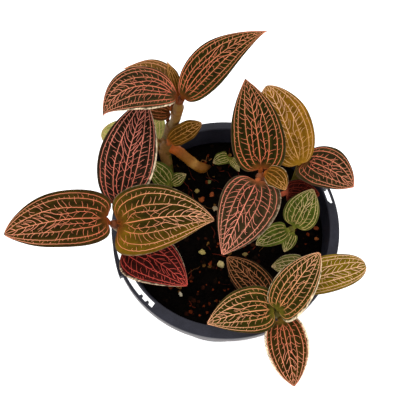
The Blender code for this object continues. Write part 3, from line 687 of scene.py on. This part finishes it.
class Net:
    """The veins of one blade, grown in its flattened plane in millimetres.

    A place on the blade is t, from base to tip, and u, from its right edge to its left edge.
    """

    def __init__(self, leaf, seed):
        self.leaf = leaf
        self.rng = np.random.default_rng(seed)
        self.draw = self.rng.uniform
        self.lines = []
        self.dots = np.zeros((0, 2))

    def place(self, x, y):
        """Place on the blade of a flat point."""
        t = x / self.leaf.length
        inside = min(max(t, T_LOW), T_HIGH)
        u = 0.0
        for _ in range(2):
            u = y / half_width(self.leaf, inside, max(-1.0, min(1.0, u)))
        return t, u

    def flat(self, t, u):
        return self.leaf.length * t, half_width(self.leaf, t, u) * u

    def slope(self, t, u):
        """Flat direction of the line of constant u."""
        x, y = self.flat(t, u)
        x2, y2 = self.flat(min(t + 0.01, T_HIGH), u)
        return math.atan2(y2 - y, x2 - x)

    def along(self, start, stop, spacing, spread):
        """Values of t from start to stop, each about the spacing past the last."""
        t = start
        while t < stop:
            yield t
            t += spacing * self.draw(*spread) / self.leaf.length

    def add(self, t, u, widths):
        t, u = np.asarray(t, float), np.asarray(u, float)
        if len(t) < 2:
            return
        self.lines.append((t, u, np.asarray(widths, float)))
        x, y = self.flat(np.clip(t, T_LOW, T_HIGH), u)
        self.dots = np.vstack([self.dots, np.stack([x, y], axis=-1)])

    def grow(self, t, u, angle, length, width, curl=0.0, jitter=0.16, forks=0.0, step=0.45):
        """Grow one vein from a place, at an angle from the line of constant u there."""
        x, y = self.flat(t, u)
        heading = self.slope(t, u) + angle
        ts, us, stems = [t], [u], []
        for k in range(max(2, int(length / step))):
            heading += self.rng.normal(0.0, jitter) + curl * step
            x += math.cos(heading) * step
            y += math.sin(heading) * step
            t, u = self.place(x, y)
            if not NET_START < t < NET_END or abs(u) > NET_EDGE:
                break
            gaps = np.hypot(self.dots[:, 0] - x, self.dots[:, 1] - y)
            meets = k > 1 and gaps.min() < MEETING
            if meets:
                t, u = self.place(*self.dots[np.argmin(gaps)])
            ts.append(t)
            us.append(u)
            if meets:
                break
            if k > 1 and self.rng.random() < forks * step:
                stems.append((t, u, heading))
        self.add(ts, us, width * np.linspace(1.0, 0.55, len(ts)))
        for t, u, heading in stems:
            swing = self.rng.choice((-1, 1)) * self.draw(0.6, 1.0)
            self.grow(t, u, heading - self.slope(t, u) + swing, length * 0.45, width * 0.8, curl, jitter)

    def main(self, mains, width):
        """The midrib and the long side veins."""
        t = np.linspace(0.0, NET_END, 64)
        sway = 0.010 * np.sin(9 * t + self.draw(0, 6))
        self.add(t, sway * np.minimum(1, 6 * t), width * (1.5 - 0.85 * t))
        for main, slim in zip(mains, (0.85, 0.72, 0.58)):
            for side in (-1, 1):
                wobble = 0.012 * np.sin(self.draw(5, 9) * t * 2 + self.draw(0, 6))
                wobble += self.rng.normal(0, 0.004, len(t))
                self.add(t, side * (main + wobble * np.minimum(1, 8 * t)), width * slim * (1 - 0.35 * t))

    def bar(self, t, side, low, high, slant, reach, width, bow=0.0):
        """A vein across a strip, from u low towards u high, slanted forwards by a length."""
        k = np.linspace(0.0, 1.0, 8)
        part = k * reach
        drift = self.rng.normal(0.0, 0.06) * np.sin(math.pi * k) + bow * np.sin(math.pi * k)
        ahead = slant / self.leaf.length * (part + drift)
        u = side * (low + (high - low) * part)
        self.add(np.clip(t + ahead, 0.0, NET_END), u, width * (1.0 - 0.4 * k))

    def twigs(self, side, low, high, first, last, spacing, width):
        """Short crooked side veins from one level towards another."""
        for t in self.along(first, last, spacing, (0.7, 1.4)):
            wide = abs(high - low) * half_width(self.leaf, t, side * low)
            self.bar(t, side, low, high, wide * self.draw(0.6, 1.2), self.draw(0.35, 0.95),
                     width, self.draw(-0.3, 0.3))

    def wander(self, main, width):
        """A wandering vein with twigs on each side of the midrib."""
        end = self.draw(0.55, 0.7, 2)
        for side, stop in zip((-1, 1), end):
            t = np.linspace(0.03, stop, int(stop * self.leaf.length / 0.8))
            sway = np.convolve(self.rng.normal(0, 0.03, len(t) + 4), np.ones(5) / 5, "valid")
            level = main * (0.50 + 0.10 * np.sin(3 * t * math.pi)) * smooth_step(t, 0.0, 0.15)
            level = level + (main - level) * smooth_step(t, stop - 0.2, stop)
            self.add(t, side * (level + sway * smooth_step(t, 0.03, 0.1)), width * 0.55 * np.ones(len(t)))
            self.twigs(side, 0.5 * main, 0.0, 0.10, stop - 0.15, 3.3, width * 0.42)
            self.twigs(side, 0.5 * main, main, 0.08, stop - 0.15, 3.0, width * 0.42)

    def fan(self, main, width, first, spacing):
        """The herringbone between the midrib and the first long veins that fans to the tip."""
        for side in (-1, 1):
            for t in self.along(first + self.draw(0.0, 0.06), 0.93, spacing, (0.83, 1.17)):
                wide = main * half_width(self.leaf, t, side * 0.1)
                late = smooth_step(t, 0.3, 0.6)
                slant = wide * self.draw(1.1, 1.5)
                reach = self.draw(0.6, 1.0) * (0.5 + 0.5 * late)
                self.bar(t, side, 0.0, main, slant, reach, width * (0.45 + 0.25 * late), -0.12)
                if late > 0.3 and wide > 2.2 and self.rng.random() < 0.6:
                    fork = t + 0.45 * reach * slant / self.leaf.length
                    self.bar(fork, side, 0.45 * reach * main, main, slant * 1.2,
                             self.draw(0.3, 0.7), width * 0.38)

    def rungs(self, low, high, spacing, width, reach):
        """Short curved bars across the strip between two long veins, some from its outer side."""
        for side in (-1, 1):
            for t in self.along(self.draw(0.03, 0.05), 0.92, spacing, (0.8, 1.25)):
                wide = (high - low) * half_width(self.leaf, t, side * low)
                if wide > 0.45:
                    slant = wide * self.draw(0.5, 0.95)
                    size = self.draw(*reach)
                    bow = self.draw(-0.25, 0.25)
                    if self.rng.random() < 0.25:
                        self.bar(t + slant / self.leaf.length, side, high, low, -slant, size, width, bow)
                    else:
                        self.bar(t, side, low, high, slant, size, width, bow)

    def hooks(self, main, width):
        """Hooks and loops that reach in from the first long vein towards the midrib."""
        for side in (-1, 1):
            for t in self.along(self.draw(0.10, 0.16), 0.8, 1.0, (3.2, 5.6)):
                turn = -side * self.draw(0.5, 1.1)
                curl = self.rng.choice((-1, 1)) * self.draw(0.1, 0.7)
                self.grow(t, side * main, turn, self.draw(1.4, 3.0), width, curl, 0.2, 0.15)


def vein_net(leaf, seed):
    """The whole net of a blade, plainer on a narrow one."""
    net = Net(leaf, seed)
    width = VEIN_WIDTH * min(1.0, 0.55 + leaf.width / 50)
    if leaf.width < NARROW_LEAF:
        first, second = NARROW_VEINS
        net.main(NARROW_VEINS, width)
        net.fan(first, width, 0.12, 2.6)
        net.rungs(first, second, 3.0, width * 0.45, (0.5, 1.0))
        return net
    first, second, third = MAIN_VEINS
    net.main(MAIN_VEINS, width)
    net.wander(first, width)
    net.fan(first, width, 0.30, 3.2)
    net.hooks(first, width * 0.4)
    net.rungs(first, second, 1.95, width * 0.48, (0.4, 0.95))
    net.rungs(second, third, 1.6, width * 0.40, (0.3, 0.7))
    return net


def vein_part(leaf, seed):
    """The shape of low closed ridges along all the veins of a blade."""
    _, _, low, high = LOOKS[leaf.look]
    rng = np.random.default_rng(seed + TONE_SEED)
    parts = []
    for t, u, width in vein_net(leaf, seed).lines:
        points = blade(leaf, t, u)
        ahead = blade(leaf, np.clip(t + 0.004, 0, 1), u) - blade(leaf, np.clip(t - 0.004, 0, 1), u)
        across = blade(leaf, t, u + 0.01) - blade(leaf, t, u - 0.01)
        normal = unit(np.cross(ahead, across))
        thick = VEIN_FOOT * (1.0 - 0.4 * smooth_step(t, 0.8, 1.0))
        top = points + normal * thick[:, None]
        reach = np.cross(normal, unit(np.gradient(points, axis=0))) * width[:, None] / 2
        rise = normal * (0.07 + 0.16 * width[:, None])
        rings = np.stack([top - reach, top + rise, top + reach, top - normal * VEIN_SINK], axis=1)
        tone = blend_colour(low, high, smooth_step(t, 0.05, 0.75))
        tone = blend_colour(tone, colour(*leaf.hub), 0.75 * (1 - smooth_step(t, 0.0, 0.08)))
        tone = tone * rng.uniform(0.85, 1.08)
        parts.append((rings.reshape(-1, 3), tube_faces(len(t), 4), np.repeat(tone, 4, axis=0)))
    return joined(parts)


# Stems

def fine_route(points, radii, count):
    """The same polyline and radii, resampled smoothly."""
    steps = np.concatenate([[0], np.cumsum(np.linalg.norm(np.diff(points, axis=0), axis=1))])
    grid = np.linspace(0, steps[-1], count)
    path = np.stack([np.interp(grid, steps, points[:, i]) for i in range(3)], axis=-1)
    for _ in range(6):
        path[1:-1] = (path[:-2] + 2 * path[1:-1] + path[2:]) / 4
    return path, np.interp(grid, steps, radii)


def sheath(stem, leaf, top):
    """The sleeve round the stem below a petiole, which leans towards it."""
    _, out = petiole_root(leaf, stem, False)
    start = leaf.joint - SHEATH_LENGTH
    heights = np.linspace(start, leaf.joint + SHEATH_RISE, 12)
    centres, sizes = [], []
    for height in heights:
        centre, _, radius = stem.at(max(min(height, top - 0.01), HOLE_FLOOR + 1))
        part = smooth_step(height, start, leaf.joint)
        centres.append(centre + out * 0.45 * part)
        sizes.append(radius + 0.08 + 0.24 * part)
    sizes[-1] = sizes[-2] - 0.35
    return tube(centres, sizes, blend_colour(SHEATH, STEM_HIGH, smooth_step(heights, heights[-1], start)))


def stem_parts(stem, leaves, young):
    """Shapes of a stem with swollen nodes, its blunt tip and, if it isn't young, its sheaths."""
    route, radii = fine_route(stem.route(), stem.radii(), 70)
    z = route[:, 2]
    node_tone = STEM_LOW * 1.2 if young else colour(*stem.node)
    tip_tone = STEM_LOW if young else colour(*stem.node) * 0.8
    shades = blend_colour(STEM_LOW, STEM_LOW if young else STEM_HIGH, smooth_step(z, 80, 125))
    for leaf in leaves:
        node = np.exp(-((z - min(leaf.joint, z[-1])) / NODE_HALF) ** 2)
        radii = radii + NODE_SWELL * node
        shades = blend_colour(shades, node_tone, 0.6 * node)
    top = route[-1]
    tall = [leaf.joint for leaf in leaves if leaf.joint > top[2]]
    reach = max(tall) - top[2] + 1.6 if tall else 1.2
    k = np.linspace(0, 1, 10)
    cone = top + np.outer(k * reach - 0.3, unit(top - route[-3]))
    sizes = stem.top * np.sqrt(np.clip(1 - k ** 2.4, 0, 1)) * 0.92 + 0.05
    parts = [tube(route, radii, shades, ridges=0.012), tube(cone, sizes, tip_tone)]
    if not young:
        parts += [sheath(stem, leaf, top[2]) for leaf in leaves if leaf.joint <= top[2]]
    return parts


def rhizome(stem):
    """The shape of the ringed rhizome that runs from the foot of the stem into the mix."""
    path = smooth_path(RHIZOME)
    radii = [stem.top] * 2 + [RHIZOME_RADIUS] * (len(path) - 4) + RHIZOME_END
    route, radii = fine_route(path, radii, 40)
    part = np.linspace(0, 1, 40)
    first, second, end, scar = RHIZOME_TONES
    tone = blend_colour(first, second, smooth_step(part, 0.0, 0.45))
    tone = blend_colour(tone, end, smooth_step(part, 0.72, 1.0))
    tone = blend_colour(tone, scar, 0.6 * np.exp(-((part - 0.6) / 0.06) ** 2))
    rings = sum(np.exp(-((part - k) / 0.03) ** 2) for k in (0.3, 0.55, 0.78))
    return tube(route, radii + 0.2 * rings, tone, ridges=0.02)


# Materials

def add_node(nodes, kind, **values):
    """A shader node with values on its inputs, whose names have an underscore for each space."""
    node = nodes.new("ShaderNode" + kind)
    for name, value in values.items():
        node.inputs[name.replace("_", " ")].default_value = value
    return node


def new_material(name):
    """A material with its nodes, its links and the inputs of its shader."""
    mat = bpy.data.materials.new(name)
    mat.use_nodes = True
    nodes = mat.node_tree.nodes
    return mat, nodes, mat.node_tree.links, nodes["Principled BSDF"].inputs


def shade_material(name, roughness, bump, grain, mottle, specular):
    """A material whose colour is the points' own shade, broken up by noise, with a fine bump."""
    mat, nodes, links, shader = new_material(name)
    place = add_node(nodes, "TexCoord")
    grains = add_node(nodes, "TexNoise", Scale=grain, Detail=4.0)
    clouds = add_node(nodes, "TexNoise", Scale=grain / 9, Detail=3.0)
    total = add_node(nodes, "Math")
    total.operation = "ADD"
    factor = add_node(nodes, "MapRange", From_Min=0.7, From_Max=1.3, To_Min=1.0 - mottle, To_Max=1.0 + mottle)
    source = add_node(nodes, "Attribute")
    source.attribute_name = "shade"
    base = add_node(nodes, "Mix")
    base.data_type = "RGBA"
    base.blend_type = "MULTIPLY"
    base.inputs["Factor"].default_value = 1.0
    rough = add_node(nodes, "MapRange", To_Min=roughness - 0.08, To_Max=roughness + 0.08)
    fine = add_node(nodes, "Bump", Strength=0.5, Distance=bump)
    shader["Metallic"].default_value = 0.0
    shader["Specular IOR Level"].default_value = specular
    links.new(place.outputs["Object"], grains.inputs["Vector"])
    links.new(place.outputs["Object"], clouds.inputs["Vector"])
    links.new(grains.outputs["Fac"], total.inputs[0])
    links.new(clouds.outputs["Fac"], total.inputs[1])
    links.new(total.outputs[0], factor.inputs["Value"])
    links.new(source.outputs["Color"], base.inputs["A"])
    links.new(factor.outputs["Result"], base.inputs["B"])
    links.new(base.outputs["Result"], shader["Base Color"])
    links.new(clouds.outputs["Fac"], rough.inputs["Value"])
    links.new(rough.outputs["Result"], shader["Roughness"])
    links.new(total.outputs[0], fine.inputs["Height"])
    links.new(fine.outputs["Normal"], shader["Normal"])
    return mat


LAMINA = shade_material("leaf_lamina", 0.65, 0.00006, 2600, 0.38, 0.02)
VEIN = shade_material("leaf_vein", 0.6, 0.00002, 1800, 0.12, 0.05)
STEM = shade_material("stem_flesh", 0.5, 0.00005, 1200, 0.22, 0.12)
PLASTIC = shade_material("pot_plastic", 0.45, 0.00002, 1500, 0.30, 0.15)
EARTH = shade_material("potting_mix", 0.95, 0.0004, 700, 0.75, 0.03)
STONE = shade_material("stones_and_bark", 0.85, 0.0002, 900, 0.35, 0.1)


# Plant

def make_shoots():
    seed = SHOOT_SEED
    for name, stem in STEMS.items():
        parts = stem_parts(stem, LEAVES[name], False)
        if name == "back":
            parts.append(rhizome(stem))
        add_piece(name + "_stem_fine", joined(parts), STEM, name + "_stem", "stem_flesh")
        for i, leaf in enumerate(LEAVES[name], 1):
            node = f"{name}_leaf_{i}"
            seed += 1
            add_piece(node + "_blade", blade_part(leaf, stem, seed, False), LAMINA, node, leaf.slot)
            add_piece(node + "_veins", vein_part(leaf, seed), VEIN, None, leaf.slot)


def make_young():
    seed = YOUNG_SEED
    for name, (stem, leaves) in YOUNG_SHOOTS.items():
        add_piece(name + "_stem_fine", joined(stem_parts(stem, leaves, True)), STEM, name, "leaf_green")
        for i, leaf in enumerate(leaves, 1):
            seed += 1
            add_piece(f"{name}_blade_{i}", blade_part(leaf, stem, seed, True), LAMINA, None, leaf.slot)
            add_piece(f"{name}_veins_{i}", vein_part(leaf, seed), VEIN, None, leaf.slot)


# Pot

def arc(centre, radius, start, end, count):
    """Points of a rounded edge in a profile."""
    angles = np.radians(np.linspace(start, end, count))
    return [(centre[0] + radius * math.cos(a), centre[1] + radius * math.sin(a)) for a in angles]


def inner_radius(z):
    """The pot's inner radius at a height."""
    return FLOOR_RADIUS - WALL + (MOUTH_RADIUS - FLOOR_RADIUS + WALL) * z / POT_HEIGHT


def pot_profile():
    edge = POT_HEIGHT - FLANGE_DROP
    under = edge - WALL
    skirt = RIM_RADIUS - SKIRT_DRAFT
    low = edge - SKIRT_HEIGHT
    profile = [(0.0, FLOOR), (inner_radius(FLOOR) - 1, FLOOR), (inner_radius(FLOOR), FLOOR + 1)]
    profile += [(inner_radius(z), z) for z in (20, 40, 60, 75)]
    profile += arc((MOUTH_RADIUS + MOUTH_ROUND, POT_HEIGHT - MOUTH_ROUND), MOUTH_ROUND, 180, 70, 6)
    profile += arc((RIM_RADIUS - RIM_ROUND, edge - 0.75), RIM_ROUND, 70, 0, 6)
    profile += arc((skirt - SKIRT_ROUND, low + SKIRT_ROUND), SKIRT_ROUND, 0, -90, 3)
    profile += arc((skirt - SKIRT_WALL + SKIRT_ROUND, low + SKIRT_ROUND), SKIRT_ROUND, -90, -180, 3)
    profile += [(RIM_RADIUS - SKIRT_WALL, under), (MOUTH_RADIUS + WALL, under + WALL)]
    slope = (MOUTH_RADIUS - FLOOR_RADIUS) / POT_HEIGHT
    profile += [(FLOOR_RADIUS + FOOT_BEVEL + slope * z, z) for z in (60, 30, 3)]
    profile += arc((FLOOR_RADIUS - 0.2, FOOT_ROUND), FOOT_ROUND, 0, -90, 5)
    profile += [(FLOOR_RADIUS - 4, 0.0), (0.0, 0.0)]
    return profile


def slot_outline(start):
    """Radius and azimuth round an arc slot: out along one arc, past the teeth, back along the other."""
    count = 72
    points = []
    for i in range(count + 1):
        angle = start + SLOT_SWEEP * i / count
        tooth = any(abs(angle - start - place) < TOOTH_HALF for place in SLOT_TEETH)
        points.append((SLOT_OUT - TOOTH_REACH if tooth else SLOT_OUT, angle))
    return points + [(SLOT_IN, start + SLOT_SWEEP * (1 - i / count)) for i in range(0, count + 1, 3)]


def band_outline(start, sweep, inner, near, far):
    """Radius and azimuth round a sector whose outer side goes from one radius to another."""
    outer = [(near + (far - near) * k, start + sweep * k) for k in np.linspace(0.0, 1.0, 25)]
    return outer + [(inner, azimuth) for _, azimuth in reversed(outer)]


def prism(polar, low, high):
    """A straight-sided solid over an outline of radii and azimuths, to cut or add to the pot."""
    outline = [(r * math.cos(math.radians(a)), r * math.sin(math.radians(a))) for r, a in polar]
    verts = [(x, y, z) for z in (low, high) for x, y in outline]
    return mesh_object("tool", verts, tube_faces(2, len(outline)), PLASTIC, smooth=False)


def apply_modifiers(obj):
    bpy.context.view_layer.update()
    graph = bpy.context.evaluated_depsgraph_get()
    mesh = bpy.data.meshes.new_from_object(obj.evaluated_get(graph))
    obj.modifiers.clear()
    obj.data = mesh


def combine(obj, tool, operation="DIFFERENCE"):
    """Cut the object by the tool, or join the two."""
    mod = obj.modifiers.new("combine", "BOOLEAN")
    mod.operation = operation
    mod.solver = "EXACT"
    mod.object = tool
    apply_modifiers(obj)
    bpy.data.objects.remove(tool)


def make_pot():
    points = [(r, 0.0, z) for r, z in pot_profile()]
    edges = [(i, i + 1) for i in range(len(points) - 1)]
    pot = mesh_object("pot_fine", points, [], PLASTIC, smooth=False, edges=edges)
    screw = pot.modifiers.new("turn", "SCREW")
    screw.steps = POT_STEPS
    screw.render_steps = POT_STEPS
    screw.use_merge_vertices = True
    screw.merge_threshold = 1e-6
    apply_modifiers(pot)
    edge = POT_HEIGHT - FLANGE_DROP
    under = edge - WALL - NOTCH_CLEAR
    clip_top = edge - CLIP_DROP
    clip = band_outline(CLIP_START, CLIP_SWEEP, CLIP_IN, RIM_RADIUS, CLIP_OUT)
    notch = band_outline(NOTCH_START, NOTCH_SWEEP, NOTCH_IN, NOTCH_OUT, NOTCH_OUT)
    combine(pot, prism(clip, clip_top - CLIP_HEIGHT, clip_top), "UNION")
    for start in SLOT_STARTS:
        combine(pot, prism(slot_outline(start), edge - SLOT_DEPTH, edge + SLOT_DEPTH))
    combine(pot, prism(notch, under - SKIRT_HEIGHT, under))
    for i in range(DRAIN_COUNT):
        turn = math.radians(DRAIN_START) + 2 * math.pi * i / DRAIN_COUNT
        drain = prism([(DRAIN_RADIUS, a) for a in range(0, 360, 15)], -FLOOR, 2 * FLOOR)
        drain.location = Vector((DRAIN_CIRCLE * math.cos(turn), DRAIN_CIRCLE * math.sin(turn), 0.0)) * MM
        combine(pot, drain)
    pot.data.materials.clear()
    pot.data.materials.append(PLASTIC)
    # The outer skirt below the flange is painted lighter pinkish-grey: painted light reflected up from the
    # pale floor.
    place = np.array([tuple(vert.co) for vert in pot.data.vertices]) / MM
    outside = smooth_step(np.hypot(place[:, 0], place[:, 1]), RIM_RADIUS - 0.8, RIM_RADIUS - 0.4)
    painted_floor_light = outside * smooth_step(edge - place[:, 2], 0.5, 2.0)
    paint(pot.data, blend_colour(PLASTIC_TOP, PLASTIC_SKIRT_LIT, painted_floor_light))
    pot.data.shade_smooth()
    pot.data.set_sharp_from_angle(angle=math.radians(SHARP_ANGLE))
    piece(pot, "pot", "pot_plastic")


# Potting mix

def soil_lump(x, y):
    """Height of the soil's surface above its level: broad swells, and finer ones half as high."""
    place = Vector((x, y, 0.5)) / SWELL
    return SOIL_LUMP * (noise.noise(place) + 0.5 * noise.noise(place * 3.3))


def make_soil():
    rings, around = SOIL_GRID
    edge = inner_radius(SOIL_TOP) - SOIL_CLEAR
    low = inner_radius(FLOOR) - SOIL_CLEAR
    turns = [2 * math.pi * j / around for j in range(around)]
    verts = [(0.0, 0.0, SOIL_TOP + soil_lump(0.0, 0.0))]
    for i in range(1, rings + 1):
        r = edge * i / rings
        fade = 1.0 - smooth_step(r, edge - 2.0, edge)
        for a in turns:
            x, y = r * math.cos(a), r * math.sin(a)
            fine = 0.5 * noise.noise(Vector((x * 0.8, y * 0.8, 2.0)))
            fine += 0.35 * noise.noise(Vector((x * 1.9, y * 1.9, 5.0)))
            verts.append((x, y, SOIL_TOP + (soil_lump(x, y) + fine) * fade))
    verts += [(low * math.cos(a), low * math.sin(a), FLOOR + SOIL_CLEAR) for a in turns]
    verts.append((0.0, 0.0, FLOOR + SOIL_CLEAR))
    steps = [(j, (j + 1) % around) for j in range(around)]
    faces = [(0, 1 + a, 1 + b) for a, b in steps]
    last = 1 + rings * around
    for ring in range(1, last, around):
        faces += [(ring + a, ring + a + around, ring + b + around, ring + b) for a, b in steps]
    faces += [(last + b, last + a, last + around) for a, b in steps]
    shades = [SOIL * (1.0 + 0.5 * noise.noise(Vector((x * 0.12, y * 0.12, 8.0)))) for x, y, _ in verts]
    add_piece("soil_fine", (verts, faces, shades), EARTH, "soil", "potting_mix")


def lump(rng, size, flat, subdivisions, shade, x, y, rise):
    """The shape of one irregular grain on the soil."""
    bm = bmesh.new()
    bmesh.ops.create_icosphere(bm, subdivisions=subdivisions, radius=size / 2)
    shift = Vector(rng.uniform(-50, 50, 3))
    stretch = np.array([rng.uniform(0.75, 1.25), rng.uniform(0.75, 1.25), flat])
    turn = Matrix.Rotation(rng.uniform(0, math.pi), 3, "Z") @ Matrix.Rotation(rng.uniform(-0.4, 0.4), 3, "X")
    z = SOIL_TOP + soil_lump(x, y) + rise * size
    verts = []
    for vert in bm.verts:
        point = vert.co * (1.0 + 0.55 * noise.noise(vert.co / size * 2.2 + shift))
        point = turn @ Vector(np.array(point) * stretch)
        verts.append((point.x + x, point.y + y, point.z + z))
    faces = [tuple(v.index for v in face.verts) for face in bm.faces]
    bm.free()
    return np.array(verts), faces, np.tile(shade, (len(verts), 1))


def scattered(rng, reach):
    """A random place on the soil, spread evenly over a disc."""
    radius = reach * math.sqrt(rng.random())
    a = rng.uniform(0, 2 * math.pi)
    return radius * math.cos(a), radius * math.sin(a)


def make_grains():
    rng = np.random.default_rng(GRAIN_SEED)
    edge = inner_radius(SOIL_TOP) - SOIL_CLEAR
    parts = []
    for _ in range(GRAIN_COUNT):
        x, y = scattered(rng, edge - 1.5)
        shade = GRAINS[rng.choice(len(GRAINS), p=GRAIN_SHARES)] * rng.uniform(0.6, 1.4)
        parts.append(lump(rng, rng.uniform(*GRAIN_SIZES), rng.uniform(0.4, 0.9), 1, shade, x, y,
                          GRAIN_RISE))
    add_piece("soil_grains", joined(parts), EARTH, None, "potting_mix", smooth=False)
    parts = []
    for (x, y, size, flat), tone in zip(CHIPS, CHIP_TONES):
        parts.append(lump(rng, size * CHIP_GROWTH, flat, 3, tone, x, y, CHIP_RISE))
    add_piece("soil_stones", joined(parts), STONE, None, "potting_mix")


def make_fibres():
    """Thin red-brown roots and fibres that lie on the mix."""
    rng = np.random.default_rng(FIBRE_SEED)
    parts = []
    for _ in range(FIBRE_COUNT):
        x, y = scattered(rng, FIBRE_REACH)
        heading = rng.uniform(0, 2 * math.pi)
        thick = rng.uniform(*FIBRE_SIZES)
        points = []
        for _ in range(int(rng.uniform(*FIBRE_STEPS))):
            heading += rng.normal(0, 0.35)
            x += FIBRE_STEP * math.cos(heading)
            y += FIBRE_STEP * math.sin(heading)
            if math.hypot(x, y) > FIBRE_REACH + 3:
                break
            lift = 0.5 + 0.5 * noise.noise(Vector((x * 0.4, y * 0.4, 11.0)))
            points.append((x, y, SOIL_TOP + soil_lump(x, y) + lift))
        if len(points) > 3:
            tone = ROOT_TONES[0] if rng.random() < 0.75 else ROOT_TONES[1]
            tone = tone * rng.uniform(0.3, 1.1)
            sizes = thick * np.linspace(1.0, 0.5, len(points))
            parts.append(tube(points, sizes, tone, sides=6))
    add_piece("soil_fibres", joined(parts), STONE, None, "potting_mix")


# Camera and light

ELEVATION = math.radians(70.5)
ROLL = math.radians(5.0)
CAMERA_AT = Vector((-8.9, -159.7, 559.7)) * MM
SENSOR = 36.0
FOCAL = 1088.0
IMAGE = 416.0
FLOOR_REACH = 2500.0
FLOOR_GAP = 0.5
LIGHT_AIM = Vector((0.0, 0.0, 0.1))
WHITE = (1.0, 1.0, 1.0, 1.0)


def make_camera():
    """The camera at the photo's viewing angle; its focal length is in pixels of the photo."""
    view = Vector((0.0, math.cos(ELEVATION), -math.sin(ELEVATION)))
    right = Vector((1.0, 0.0, 0.0))
    up = right.cross(view)
    local_x = right * math.cos(ROLL) + up * math.sin(ROLL)
    local_y = up * math.cos(ROLL) - right * math.sin(ROLL)
    data = bpy.data.cameras.new("camera")
    data.sensor_width = SENSOR
    data.lens = FOCAL / IMAGE * SENSOR
    camera = bpy.data.objects.new("camera", data)
    turn = Matrix((local_x, local_y, -view)).transposed().to_4x4()
    camera.matrix_world = Matrix.Translation(CAMERA_AT) @ turn
    link(camera)
    bpy.context.scene.camera = camera


def area_light(name, place, size, power):
    """A square light that shines at the top of the pot."""
    data = bpy.data.lights.new(name, "AREA")
    data.size = size
    data.energy = power
    light = bpy.data.objects.new(name, data)
    light.location = place
    light.rotation_euler = (LIGHT_AIM - Vector(place)).to_track_quat("-Z", "Y").to_euler()
    link(light)


def make_studio():
    """A pale floor just below the pot, a white world and two soft lights."""
    mat, nodes, links, shader = new_material("studio_floor")
    shader["Roughness"].default_value = 0.9
    shader["Emission Color"].default_value = WHITE
    shader["Emission Strength"].default_value = 0.4
    paper = add_node(nodes, "TexNoise", Scale=40.0)
    ramp = add_node(nodes, "ValToRGB")
    ramp.color_ramp.elements[0].color = (0.90, 0.90, 0.90, 1)
    ramp.color_ramp.elements[1].color = (0.94, 0.94, 0.94, 1)
    links.new(paper.outputs["Fac"], ramp.inputs["Fac"])
    links.new(ramp.outputs["Color"], shader["Base Color"])
    corners = [(x * FLOOR_REACH, y * FLOOR_REACH, 0.0) for x, y in ((-1, -1), (1, -1), (1, 1), (-1, 1))]
    floor = mesh_object("floor", corners, [(0, 1, 2, 3)], mat, smooth=False)
    floor.location.z = -FLOOR_GAP * MM
    floor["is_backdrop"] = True
    world = bpy.data.worlds.new("studio")
    world.use_nodes = True
    background = world.node_tree.nodes["Background"].inputs
    background["Color"].default_value = WHITE
    background["Strength"].default_value = 0.85
    bpy.context.scene.world = world
    area_light("key", (-0.5, 0.25, 1.1), 1.2, 12)
    area_light("fill", (0.6, -0.5, 0.8), 1.0, 6)
    bpy.context.scene.view_settings.view_transform = "Standard"


make_camera()
make_studio()
make_pot()
make_soil()
make_grains()
make_fibres()
make_shoots()
make_young()

boxes = {"cad": cad_box, "scene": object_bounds()}
{name: [[float(c) for c in corner] for corner in box] for name, box in boxes.items()}
